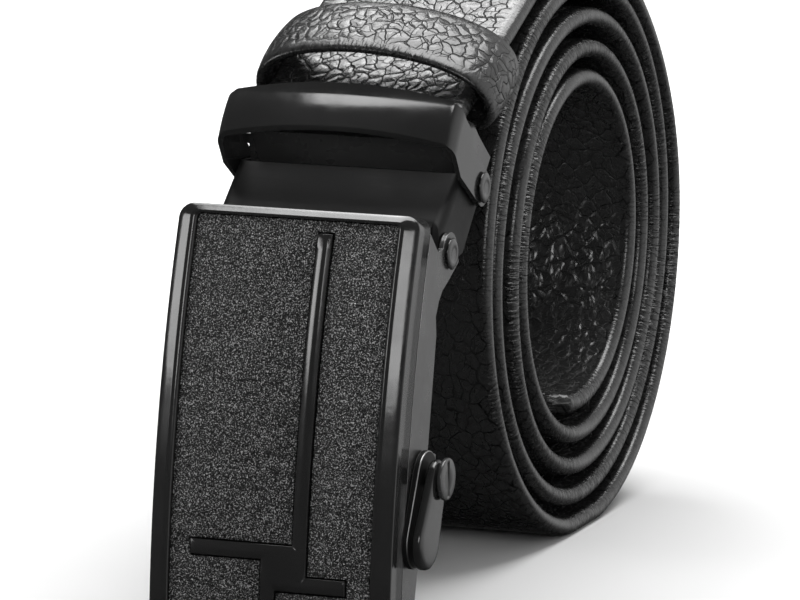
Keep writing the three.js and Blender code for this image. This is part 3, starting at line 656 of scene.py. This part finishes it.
def build_cover():
    outer = rounded_rectangle(HALF_BUCKLE, HALF_FACE, FACE_CORNER)
    inner = rounded_rectangle(PANEL_HALF_WIDTH, PANEL_HALF_LENGTH, 0.8)
    wall = rounded_rectangle(HALF_BUCKLE - COVER_WALL, HALF_FACE - COVER_WALL, FACE_CORNER - COVER_WALL)
    floor = RIM_HEIGHT - PANEL_DEPTH - PANEL_THICKNESS - CLEARANCE
    bevel = RIM_BEVEL / RIM_WIDTH
    rings = []
    for share in (0.02, 0.35, 0.7, 0.97):
        rings.append((wall * share, -COVER_PLATE))
    rings += [(wall, -COVER_PLATE - 0.1), (wall, 0.3 - COVER_DEPTH),
              (wall + (outer - wall) * 0.25, -COVER_DEPTH), (outer - (outer - wall) * 0.2, -COVER_DEPTH),
              (outer, 0.25 - COVER_DEPTH), (outer, -0.25), (outer, -0.17)]
    # A rounded outer edge, a flat bevel, and the rim's top with its own rounded edge by the panel
    profile = [(0.01, -0.06), (0.04, 0.02), (0.06, 0.04)]
    profile += [(share * bevel, RIM_HEIGHT * share) for share in (0.12, 0.5, 0.94, 0.97)]
    profile += [(bevel + 0.01, RIM_HEIGHT), (bevel + 0.03, RIM_HEIGHT), (0.83, RIM_HEIGHT),
                (0.845, RIM_HEIGHT - 0.005), (0.86, RIM_HEIGHT - 0.02), (0.95, RIM_HEIGHT - 0.21),
                (0.965, RIM_HEIGHT - 0.26), (1.0, RIM_HEIGHT - 0.42), (1.0, floor + 0.05)]
    rings += [(outer + (inner - outer) * across, height) for across, height in profile]
    for share in (0.97, 0.7, 0.35, 0.02):
        rings.append((inner * share, floor))
    grid = np.array([[[x, z, height] for x, z in loop] for loop, height in rings])
    points, faces = ring_points(grid)
    obj = new_object("cover_casting", from_buckle(on_face(points)), faces)
    recalculate(obj)
    return obj


def bar_outline(grow):
    """The raised bars as one [x, z] outline: a pinwheel round the block in the middle."""
    h = BAR_WIDTH / 2 + grow
    x = LONG_BAR_OFFSET
    s = SHORT_BAR_OFFSET
    a, b = LEFT_ARM_RISE - PANEL_HALF_LENGTH, RIGHT_ARM_RISE - PANEL_HALF_LENGTH
    top, low = PANEL_HALF_LENGTH - LONG_BAR_MARGIN + grow, SHORT_BAR_MARGIN - PANEL_HALF_LENGTH - grow
    left, right = LEFT_ARM_MARGIN - PANEL_HALF_WIDTH - grow, PANEL_HALF_WIDTH - RIGHT_ARM_MARGIN + grow
    return [[x - h, top], [x + h, top], [x + h, b + h], [right, b + h], [right, b - h], [s + h, b - h],
            [s + h, low], [s - h, low], [s - h, a - h], [left, a - h], [left, a + h], [x - h, a + h]]


def slab(name, levels):
    """Flat [x, z] outlines, each with its height, joined still in the face's flat frame."""
    rings = np.array([[[x, z, height] for x, z in outline] for outline, height in levels])
    points, faces = ring_points(rings)
    obj = new_object(name, points - ORIGIN, faces, smooth=False)
    recalculate(obj)
    return obj


def lay_on_face(obj, step=1.6):
    """Cuts a flat piece into strips and bends it to the face's curve."""
    bm = bmesh.new()
    bm.from_mesh(obj.data)
    for z in np.arange(-HALF_FACE, HALF_FACE, step):
        geometry = bm.verts[:] + bm.edges[:] + bm.faces[:]
        bmesh.ops.bisect_plane(bm, geom=geometry, plane_co=(0, z * MM, 0), plane_no=(0, 1, 0))
    flat = np.array([v.co for v in bm.verts]) / MM
    bent = (from_buckle(on_face(flat)) + ORIGIN) * MM
    for vertex, place in zip(bm.verts, bent):
        vertex.co = place
    bmesh.ops.recalc_face_normals(bm, faces=bm.faces)
    bm.to_mesh(obj.data)
    bm.free()
    for polygon in obj.data.polygons:
        polygon.use_smooth = True
    return obj


def build_bars():
    """Each bar is a low ridge with its wide bevel on the left."""
    base = RIM_HEIGHT - PANEL_DEPTH - PANEL_THICKNESS - CLEARANCE
    ridge = np.array(bar_outline(-BAR_BEVEL)) + [BAR_SKEW, 0]
    levels = [(bar_outline(0), base), (bar_outline(0), RIM_HEIGHT - BAR_RISE), (ridge, RIM_HEIGHT)]
    bars = slab("cover_bars", levels)
    soften(bars, BAR_EDGE, angle=10)
    return lay_on_face(bars)


def build_panel():
    top = RIM_HEIGHT - PANEL_DEPTH
    loop = rounded_rectangle(PANEL_HALF_WIDTH - PANEL_ROOM, PANEL_HALF_LENGTH - PANEL_ROOM, 0.6)
    panel = slab("panel_plate", [(loop, top - PANEL_THICKNESS), (loop, top)])
    room = bar_outline(BAR_ROOM)
    boolean(panel, slab("bar_room", [(room, -COVER_DEPTH), (room, COVER_DEPTH)]), "DIFFERENCE")
    soften(panel, PLATE_EDGE, 2)
    return lay_on_face(panel)


def build_housing():
    web, shelf = COVER_PLATE + CLEARANCE, COVER_DEPTH + CLEARANCE
    deep = 2 * HOUSING_DEPTH
    half = [
        [HOUSING_INNER, web], [HOUSING_INNER, shelf], [HOUSING_HALF, shelf], [HOUSING_HALF, deep],
        [HOUSING_HALF - SHEET, deep], [HOUSING_HALF - SHEET, shelf + SHEET],
        [HOUSING_INNER - SHEET, shelf + SHEET], [HOUSING_INNER - SHEET, web + SHEET],
    ]
    section = half + [[-x, y] for x, y in half][::-1]
    rings = []
    for z in np.linspace(-HALF_FACE, HALF_FACE, 41):
        rings.append([[x, y + face_drop(z), z] for x, y in section])
    points, faces = ring_points(np.array(rings))
    obj = new_object("housing_channel", from_buckle(points), faces)
    recalculate(obj)
    back = HOUSING_DEPTH
    neck = HINGE[1] - 4 / 3 * HINGE_EAR
    step = HOUSING_NECK
    boss = LEVER[0] + 1.5 * LEVER_RADIUS
    outline = [
        [-COVER_DEPTH, HOUSING_END], [1.2 * COVER_DEPTH, HOUSING_END],
        [HINGE[0] - 1.6 * HINGE_EAR, HINGE[1]],
        *arc(HINGE, HINGE_EAR, 170, 40, 24),
        [HINGE[0] + 1.25 * HINGE_EAR, HINGE[1] - HINGE_EAR / 3],
        [back + 1.2 * step, neck], [back + 0.45 * step, neck - 0.5 * step], [back, neck - 1.15 * step],
        [back - 0.3 * step, neck - 2 * step], [back, neck - 3 * step],
        [back, LEVER[1] + LEVER_RADIUS],
        [boss, LEVER[1] + 0.85 * LEVER_RADIUS], [boss, LEVER[1] - LEVER_RADIUS],
        [back, LEVER[1] - 1.5 * LEVER_RADIUS],
        [back - step / 3, 2 * step - HOUSING_END], [back - 1.4 * step, -HOUSING_END],
        [-COVER_DEPTH, -HOUSING_END],
    ]
    boolean(obj, prism("outline", outline, -BUCKLE_WIDTH, BUCKLE_WIDTH, from_buckle), "INTERSECT")
    near = COVER_DEPTH + face_drop(HALF_FACE)
    room = [[near, HOUSING_END - LINK_ROOM], [FACE_LENGTH, HOUSING_END - LINK_ROOM],
            [FACE_LENGTH, HALF_FACE], [near, HALF_FACE]]
    reach = LINK_HALF + CLEARANCE
    boolean(obj, prism("link_room", room, -reach, reach, from_buckle), "DIFFERENCE")
    return soften(obj, PLATE_EDGE, 2, wear_and_highlight=True)


PLATE_SIDE = HOUSING_HALF + CLEARANCE
PADDLE_SIDE = PLATE_SIDE + LEVER_PLATE + LEVER_GAP
BUTTON_SIDE = PADDLE_SIDE + PADDLE_THICKNESS + CLEARANCE
PADDLE = LEVER - np.array([LEVER_FORWARD, LEVER_LENGTH])


def build_lever():
    plate = prism("lever_back", teardrop(LEVER, LEVER_RADIUS, PADDLE, LEVER_RADIUS),
                  PLATE_SIDE, PLATE_SIDE + LEVER_PLATE, from_buckle)
    soften(plate, LINK_EDGE, wear_and_highlight=True)
    # The paddle swells towards the middle of its round end
    outline = np.array(teardrop(LEVER, 0.7 * LEVER_RADIUS, PADDLE, LEVER_RADIUS))
    middle = PADDLE + 0.1 * (LEVER - PADDLE)
    rings = []
    for share, x in ((0.985, 0), (1, 0.25), (1, 0.85), (0.97, 1.2), (0.9, 1.42), (0.75, 1.52), (0.5, 1.58),
                     (0.25, 1.6), (0.02, 1.6)):
        height = PADDLE_SIDE + x * PADDLE_THICKNESS / 1.6
        rings.append([[height, *(middle + share * (p - middle))] for p in outline])
    points, faces = ring_points(np.array(rings))
    paddle = new_object("lever_paddle", from_buckle(points), faces)
    recalculate(paddle)
    r, b = BUTTON_RADIUS, BUTTON_SIDE
    t = BUTTON_THICKNESS
    end = PLATE_SIDE + BUTTON_THICKNESS
    profile = [[0.02, -end], [2 * SHAFT_RADIUS - 0.15, -end], [2 * SHAFT_RADIUS, -end + 0.15],
               [2 * SHAFT_RADIUS, -PLATE_SIDE], [SHAFT_RADIUS, -PLATE_SIDE], [SHAFT_RADIUS, b],
               [r - 0.1, b], [r, b + 0.1], [r, b + t - 0.2], [r - 0.06, b + t - 0.08], [r - 0.2, b + t],
               [0.6 * r, b + t + 0.04], [0.02, b + t + 0.06]]
    shaft = lathe("lever_button", profile, 64, LEVER, from_buckle)
    slot = [[-0.45, -r * 0.8], [0.45, -r * 0.8], [0.45, r * 0.8], [-0.45, r * 0.8]]
    turned = math.radians(12)
    slot = [[LEVER[0] + y * math.cos(turned) - z * math.sin(turned),
             LEVER[1] + y * math.sin(turned) + z * math.cos(turned)] for y, z in slot]
    boolean(shaft, prism("slot", slot, b + t - 0.35, b + t + 2, from_buckle), "DIFFERENCE")
    blade = prism("blade", [
        [LEVER[0] - PAWL_LENGTH, LEVER[1] - 1.2 * SHAFT_RADIUS],
        [LEVER[0] - PAWL_LENGTH, LEVER[1] - 0.5 * SHAFT_RADIUS],
        [LEVER[0], LEVER[1] + SHAFT_RADIUS * 0.8], [LEVER[0], LEVER[1] - SHAFT_RADIUS * 0.8],
    ], -PAWL_WIDTH / 2, PAWL_WIDTH / 2, from_buckle)
    soften(blade, BLADE_EDGE, 2)
    return plate, paddle, joined("lever_button_shaft", [shaft, blade])


# Materials

class Nodes:
    """A short way to build a node tree."""

    def __init__(self, name):
        self.material = bpy.data.materials.new(name)
        self.material.use_nodes = True
        self.tree = self.material.node_tree
        self.shader = self.tree.nodes["Principled BSDF"]

    def add(self, kind, settings=None, **inputs):
        node = self.tree.nodes.new(kind)
        for key, value in (settings or {}).items():
            setattr(node, key, value)
        for key, value in inputs.items():
            self.feed(node, key.replace("_", " "), value)
        return node

    def feed(self, node, key, value):
        socket = node.inputs[int(key[1:])] if key[0] == "#" else node.inputs[key]
        if isinstance(value, bpy.types.NodeSocket):
            self.tree.links.new(value, socket)
        else:
            socket.default_value = value

    def math(self, operation, a, b=0.0, c=0.0, clamp=False):
        node = self.tree.nodes.new("ShaderNodeMath")
        node.operation = operation
        node.use_clamp = clamp
        for index, value in enumerate((a, b, c)):
            self.feed(node, f"#{index}", value)
        return node.outputs[0]

    def span(self, value, low, high, to_low=0.0, to_high=1.0, smooth=True):
        node = self.tree.nodes.new("ShaderNodeMapRange")
        if smooth:
            node.interpolation_type = "SMOOTHSTEP"
        for key, item in (("Value", value), ("From Min", low), ("From Max", high),
                          ("To Min", to_low), ("To Max", to_high)):
            self.feed(node, key, item)
        return node.outputs["Result"]

    def place(self, source, scale, turn=0.0):
        node = self.tree.nodes.new("ShaderNodeMapping")
        self.feed(node, "Vector", source)
        node.inputs["Scale"].default_value = scale
        node.inputs["Rotation"].default_value = (0, 0, turn)
        return node.outputs["Vector"]

    def noise(self, vector, scale, detail=2.0, rough=0.5, distortion=0.0, dimensions="3D"):
        node = self.add("ShaderNodeTexNoise", {"noise_dimensions": dimensions}, Vector=vector, Scale=scale,
                        Detail=detail, Roughness=rough, Distortion=distortion)
        return node.outputs["Fac"]

    def cells(self, vector, scale, randomness=1.0, feature="DISTANCE_TO_EDGE", dimensions="2D"):
        node = self.add("ShaderNodeTexVoronoi", {"voronoi_dimensions": dimensions, "feature": feature},
                        Vector=vector, Scale=scale, Randomness=randomness)
        return node.outputs["Distance"]

    def bump(self, height, distance, strength=1.0, normal=None):
        node = self.tree.nodes.new("ShaderNodeBump")
        self.feed(node, "Height", height)
        node.inputs["Distance"].default_value = distance
        self.feed(node, "Strength", strength)
        if normal is not None:
            self.feed(node, "Normal", normal)
        return node.outputs["Normal"]

    def set(self, **values):
        names = {"color": "Base Color", "rough": "Roughness", "metal": "Metallic", "normal": "Normal",
                 "specular": "Specular IOR Level"}
        for key, value in values.items():
            self.feed(self.shader, names[key], value)
        return self.material


# Lengths along the strap where the outer turn starts and stops being pulled smooth, and where the
# inner turns grow more pebbled; and how far the grain's cells wander
SMOOTH_START = (110.0, 210.0)
SMOOTH_END = (360.0, 460.0)
PEBBLED = (600.0, 850.0)
GRAIN_WARP = 2.6


def leather(name, cell, stretch, tilt, crease, dome, gathers):
    """Pressed leather: flat-topped cells between thin creases darkened with painted shade, pores, and
    gathers at its turned edges.

    The outer turn is pulled smooth at the front of the roll, and the inner turns are more pebbled.
    """
    n = Nodes(name)
    uv = n.add("ShaderNodeUVMap", {"uv_map": "UVMap"}).outputs["UV"]
    along = n.add("ShaderNodeSeparateXYZ", Vector=uv).outputs["Y"]
    edge = n.add("ShaderNodeAttribute", {"attribute_name": "edge"}).outputs["Fac"]
    flat = n.span(edge, 0.12, 0.5, 1.0, 0.0)
    pulled = n.math("MULTIPLY", n.span(along, *SMOOTH_START), n.span(along, *SMOOTH_END, 1.0, 0.0))
    grain = n.math("MULTIPLY", flat, n.span(pulled, 0.0, 1.0, 1.0, 0.3, False))
    inner = n.span(along, *PEBBLED, 0.35, 1.0)
    warp = n.add("ShaderNodeTexNoise", {"noise_dimensions": "2D"}, Vector=uv, Scale=0.25, Detail=2.0)
    shift = n.add("ShaderNodeVectorMath", {"operation": "MULTIPLY_ADD"})
    n.feed(shift, "#0", warp.outputs["Color"])
    shift.inputs[1].default_value = (GRAIN_WARP, GRAIN_WARP, 0)
    n.feed(shift, "#2", uv)
    bent = shift.outputs[0]
    slanted = n.place(bent, (1.0, stretch, 1.0), tilt)
    wide = n.cells(slanted, 1 / cell, 0.85)
    lines = n.span(wide, 0.0, 0.07)
    plump = n.span(wide, 0.0, 0.42)
    fine = n.cells(n.place(bent, (1.0, 0.8, 1.0), 0.9), 1.7 / cell)
    cracks = n.span(fine, 0.0, 0.06)
    patch = n.span(n.noise(uv, 0.22, 2.0, 0.6, 0.0, "2D"), 0.42, 0.6)
    cracks = n.math("MAXIMUM", cracks, n.math("MULTIPLY", patch, 0.8))
    pores = n.noise(uv, 4.5, 3.0, 0.6, 0.0, "2D")
    folds = n.noise(n.place(uv, (0.25, 1.6, 1)), 1.0, 2.0, 0.6, 0.2, "2D")
    folds = n.span(folds, 0.4, 0.62)
    drawn = n.span(n.noise(uv, 0.035, 1.0, 0.5, 0.0, "2D"), 0.4, 0.62, 0.15, 1.0)
    grooves = n.math("MULTIPLY", lines, n.span(cracks, 0.0, 1.0, 0.35, 1.0))
    normal = n.bump(grooves, crease * 0.0002, n.math("MULTIPLY_ADD", grain, 0.9, 0.03))
    normal = n.bump(plump, dome * 0.0003, n.math("MULTIPLY", grain, inner), normal)
    fold_share = n.math("MULTIPLY", n.span(edge, 0.2, 0.6), drawn)
    normal = n.bump(folds, gathers * 0.00018, fold_share, normal)
    normal = n.bump(pores, 0.000022, 0.5, normal)
    # Darker colour in the creases than on the cells: painted shade in the creases
    shade = n.span(grooves, 0.2, 1.0, 0.002, 0.014)
    tint = n.add("ShaderNodeCombineColor", Red=shade, Green=shade, Blue=shade).outputs["Color"]
    wear_and_highlight = n.span(n.noise(uv, 0.7, 2.0, 0.5, 0.0, "2D"), 0.3, 0.7, 0.2, 0.3)
    rough = n.add("ShaderNodeMix", {"data_type": "FLOAT"})
    n.feed(rough, "#0", n.math("MAXIMUM", n.span(grooves, 0.25, 0.8), n.span(grain, 0.0, 0.6, 1.0, 0.0)))
    rough.inputs[2].default_value = 0.75
    n.feed(rough, "#3", wear_and_highlight)
    return n.set(color=tint, rough=rough.outputs[0], specular=0.5, normal=normal)


def metal(name, color, low_rough, high_rough, grain, metallic, specular):
    """Plated or lacquered metal, with a faint unevenness in its gloss and its surface."""
    n = Nodes(name)
    place = n.add("ShaderNodeTexCoord").outputs["Object"]
    cloud = n.noise(place, 140.0, 3.0, 0.6)
    rough = n.span(cloud, 0.3, 0.7, low_rough, high_rough)
    normal = n.bump(n.noise(place, 900.0, 2.0, 0.5), grain)
    shade = n.span(n.noise(place, 60.0, 2.0, 0.5), 0.3, 0.7, 0.85 * color, 1.15 * color)
    tint = n.add("ShaderNodeCombineColor", Red=shade, Green=shade, Blue=shade).outputs["Color"]
    return n.set(color=tint, rough=rough, metal=metallic, specular=specular, normal=normal)


def blasted(name):
    """Sandblasted metal under thin lacquer: an even grain, whose light flecks in the colour are partly its
    grain and partly painted sparkle.
    """
    n = Nodes(name)
    place = n.add("ShaderNodeTexCoord").outputs["Object"]
    grit = n.cells(place, 3000.0, 1.0, "F1", "3D")
    fine = n.noise(place, 4600.0, 2.0, 0.6)
    normal = n.bump(grit, 0.00022, 1.0)
    normal = n.bump(fine, 0.0001, 0.8, normal)
    # Light, glossier flecks in the colour: the blasted grain, and painted sparkle
    speck = n.span(n.noise(place, 4300.0, 2.0, 0.7), 0.5, 0.68)
    shade = n.math("MULTIPLY_ADD", speck, 0.4, 0.004)
    tint = n.add("ShaderNodeCombineColor", Red=shade, Green=shade, Blue=shade).outputs["Color"]
    rough = n.span(speck, 0.0, 1.0, 0.55, 0.35)
    return n.set(color=tint, rough=rough, metal=0.35, specular=0.5, normal=normal)


def plastic(name):
    n = Nodes(name)
    place = n.add("ShaderNodeTexCoord").outputs["Object"]
    rough = n.span(n.noise(place, 300.0, 2.0), 0.3, 0.7, 0.45, 0.6)
    normal = n.bump(n.noise(place, 1500.0, 2.0), 0.00003)
    return n.set(color=(0.012, 0.012, 0.012, 1), rough=rough, normal=normal)


# The floor grows paler away from the object, painted light that whitens the far floor and keeps the floor
# round the object dimmer: its two shades, and where it changes, in metres
FLOOR_NEAR = 0.57
FLOOR_FAR = 0.95
FLOOR_FROM = 0.05
FLOOR_TO = 0.45


def floor_material():
    n = Nodes("floor")
    place = n.add("ShaderNodeTexCoord").outputs["Object"]
    away = n.add("ShaderNodeVectorMath", {"operation": "LENGTH"}, Vector=place).outputs["Value"]
    cloud = n.span(n.noise(place, 9.0, 2.0), 0.3, 0.7, 0.99, 1.01)
    # Paler away from the object: painted light
    shade = n.math("MULTIPLY", cloud, n.span(away, FLOOR_FROM, FLOOR_TO, FLOOR_NEAR, FLOOR_FAR))
    tint = n.add("ShaderNodeCombineColor", Red=shade, Green=shade, Blue=shade).outputs["Color"]
    return n.set(color=tint, rough=0.7, specular=0.3)


def dress(obj, material, body, nodes):
    if len(obj.data.materials) > 1:
        obj.data.materials[0] = material
    else:
        obj.data.materials.clear()
        obj.data.materials.append(material)
    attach(obj, body)
    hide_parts(*nodes)


# Camera, floor and light

# The photograph's camera: its place in the roll's frame, its angles in degrees, and its lens
CAMERA_PLACE = (368.3, -999.5, 187.5)
CAMERA_YAW = 21.0
CAMERA_PITCH = 10.5
CAMERA_LENS = 292.5
CAMERA_SENSOR = 36.0


def add_camera():
    camera = bpy.data.objects.new("camera", bpy.data.cameras.new("camera"))
    camera.data.sensor_width = CAMERA_SENSOR
    camera.data.lens = CAMERA_LENS
    camera.data.clip_end = 20
    yaw, pitch = math.radians(CAMERA_YAW), math.radians(CAMERA_PITCH)
    back = Vector((math.sin(yaw) * math.cos(pitch), -math.cos(yaw) * math.cos(pitch), math.sin(pitch)))
    right = Vector((math.cos(yaw), math.sin(yaw), 0))
    up = back.cross(right)
    turn = Matrix((right, up, back)).transposed().to_4x4()
    place = (np.array(CAMERA_PLACE) + ORIGIN) * MM
    camera.matrix_world = Matrix.Translation(place) @ turn
    bpy.context.scene.collection.objects.link(camera)
    bpy.context.scene.camera = camera


def add_area(name, place, target, width, height, power):
    data = bpy.data.lights.new(name, "AREA")
    data.energy = power
    data.shape = "RECTANGLE"
    data.size = width
    data.size_y = height
    light = bpy.data.objects.new(name, data)
    light.location = place
    light.rotation_euler = (Vector(target) - Vector(place)).to_track_quat("-Z", "Y").to_euler()
    bpy.context.scene.collection.objects.link(light)


# The studio's brightness in front of the object and behind it, and where along its own axis it changes
WORLD_FRONT = 0.075
WORLD_BACK = 1.15
WORLD_AXIS = (0.88, 0.47, 0.0)
WORLD_FROM = 0.2
WORLD_TO = 0.95

# How much of that is left straight down, and how far below the horizon the change ends
WORLD_BELOW = 0.08
WORLD_DEPTH = -0.55

# Softboxes: name, place, aim, width, height and power
SOFTBOXES = [
    ("top", (0.02, 0.2, 0.9), (0, 0.02, 0.05), 0.8, 0.75, 16.0),
    ("back", (-0.48, 0.55, 0.85), (0, 0.0, 0.08), 0.4, 0.4, 2.8),
    ("left", (-0.89, -0.47, 0.33), (-0.02, -0.07, 0.07), 0.4, 0.34, 2.9),
    ("right", (0.42, -0.88, 0.42), (0.02, -0.06, 0.07), 0.26, 0.34, 2.1),
]


def add_floor():
    mesh = bpy.data.meshes.new("floor")
    mesh.from_pydata([(-6, -6, 0), (6, -6, 0), (6, 9, 0), (-6, 9, 0)], [], [(0, 1, 2, 3)])
    floor = bpy.data.objects.new("floor", mesh)
    floor.data.materials.append(floor_material())
    floor.visible_glossy = False
    bpy.context.scene.collection.objects.link(floor)


def add_world():
    """A dim studio: bright behind the object and to the right, dark in front and under the horizon."""
    world = bpy.data.worlds.new("studio")
    bpy.context.scene.world = world
    world.use_nodes = True
    tree = world.node_tree
    direction = tree.nodes.new("ShaderNodeTexCoord").outputs["Generated"]
    reach = tree.nodes.new("ShaderNodeVectorMath")
    reach.operation = "DOT_PRODUCT"
    tree.links.new(direction, reach.inputs[0])
    reach.inputs[1].default_value = WORLD_AXIS
    split = tree.nodes.new("ShaderNodeSeparateXYZ")
    tree.links.new(direction, split.inputs[0])
    strength = tree.nodes.new("ShaderNodeMath")
    strength.operation = "MULTIPLY"
    ramps = [(reach.outputs["Value"], WORLD_FROM, WORLD_TO, WORLD_FRONT, WORLD_BACK),
             (split.outputs["Z"], WORLD_DEPTH, 0.0, WORLD_BELOW, 1.0)]
    for index, (value, low, high, to_low, to_high) in enumerate(ramps):
        ramp = tree.nodes.new("ShaderNodeMapRange")
        ramp.interpolation_type = "SMOOTHSTEP"
        tree.links.new(value, ramp.inputs["Value"])
        for key, item in (("From Min", low), ("From Max", high), ("To Min", to_low), ("To Max", to_high)):
            ramp.inputs[key].default_value = item
        tree.links.new(ramp.outputs["Result"], strength.inputs[index])
    background = tree.nodes["Background"]
    background.inputs["Color"].default_value = (1, 1, 1, 1)
    tree.links.new(strength.outputs[0], background.inputs["Strength"])


def add_light():
    add_world()
    for softbox in SOFTBOXES:
        add_area(*softbox)
    bpy.context.scene.view_settings.view_transform = "Standard"


add_camera()
add_floor()
add_light()

# A pale metal for rounded edges: painted highlight lines along them, and wear
edge_highlight_look = metal("edge_highlight_plating", 0.3, 0.28, 0.4, 0.000006, 1.0, 0.5)
strap_look = leather("strap_leather", 2.3, 0.8, 0.6, 1.0, 0.6, 1.0)
keeper_look = leather("keeper_leather", 2.9, 1.6, 0.25, 1.0, 0.9, 0.6)
gloss_look = metal("black_plating", 0.013, 0.1, 0.18, 0.000006, 0.0, 0.5)
satin_look = metal("satin_plating", 0.026, 0.24, 0.34, 0.00001, 0.0, 0.6)
link_look = metal("matte_plating", 0.006, 0.4, 0.5, 0.000012, 0.0, 0.12)
panel_look = blasted("blasted_panel")
track_look = plastic("track_plastic")

dress(build_strap(), strap_look, "belt", ["strap"])
dress(build_keeper(), keeper_look, "belt", ["keeper_loop"])
dress(build_hood(), gloss_look, "belt", ["clamp_hood"])
dress(build_jaw(), satin_look, "belt", ["clamp_jaw"])
dress(build_rivet("clamp_rivet_pin", clamp_yz, HALF_BUCKLE), gloss_look, "belt",
      ["clamp_rivet"])
dress(build_link(), link_look, "link", ["link_plate"])
dress(build_housing(), satin_look, "buckle", ["buckle_housing"])
dress(build_cover(), gloss_look, "buckle", ["face_cover"])
dress(build_bars(), gloss_look, "buckle", ["face_cover"])
dress(build_panel(), panel_look, "buckle", ["face_panel"])
dress(build_rivet("buckle_rivet_pin", HINGE, HOUSING_HALF, from_buckle), gloss_look, "buckle",
      ["buckle_rivet"])
back_plate, paddle, shaft = build_lever()
dress(back_plate, link_look, "lever", ["lever_plate"])
dress(paddle, gloss_look, "lever", ["release_lever"])
dress(shaft, satin_look, "lever", ["lever_shaft"])

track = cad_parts["ratchet_track"]
track.data.materials.clear()
track.data.materials.append(track_look)
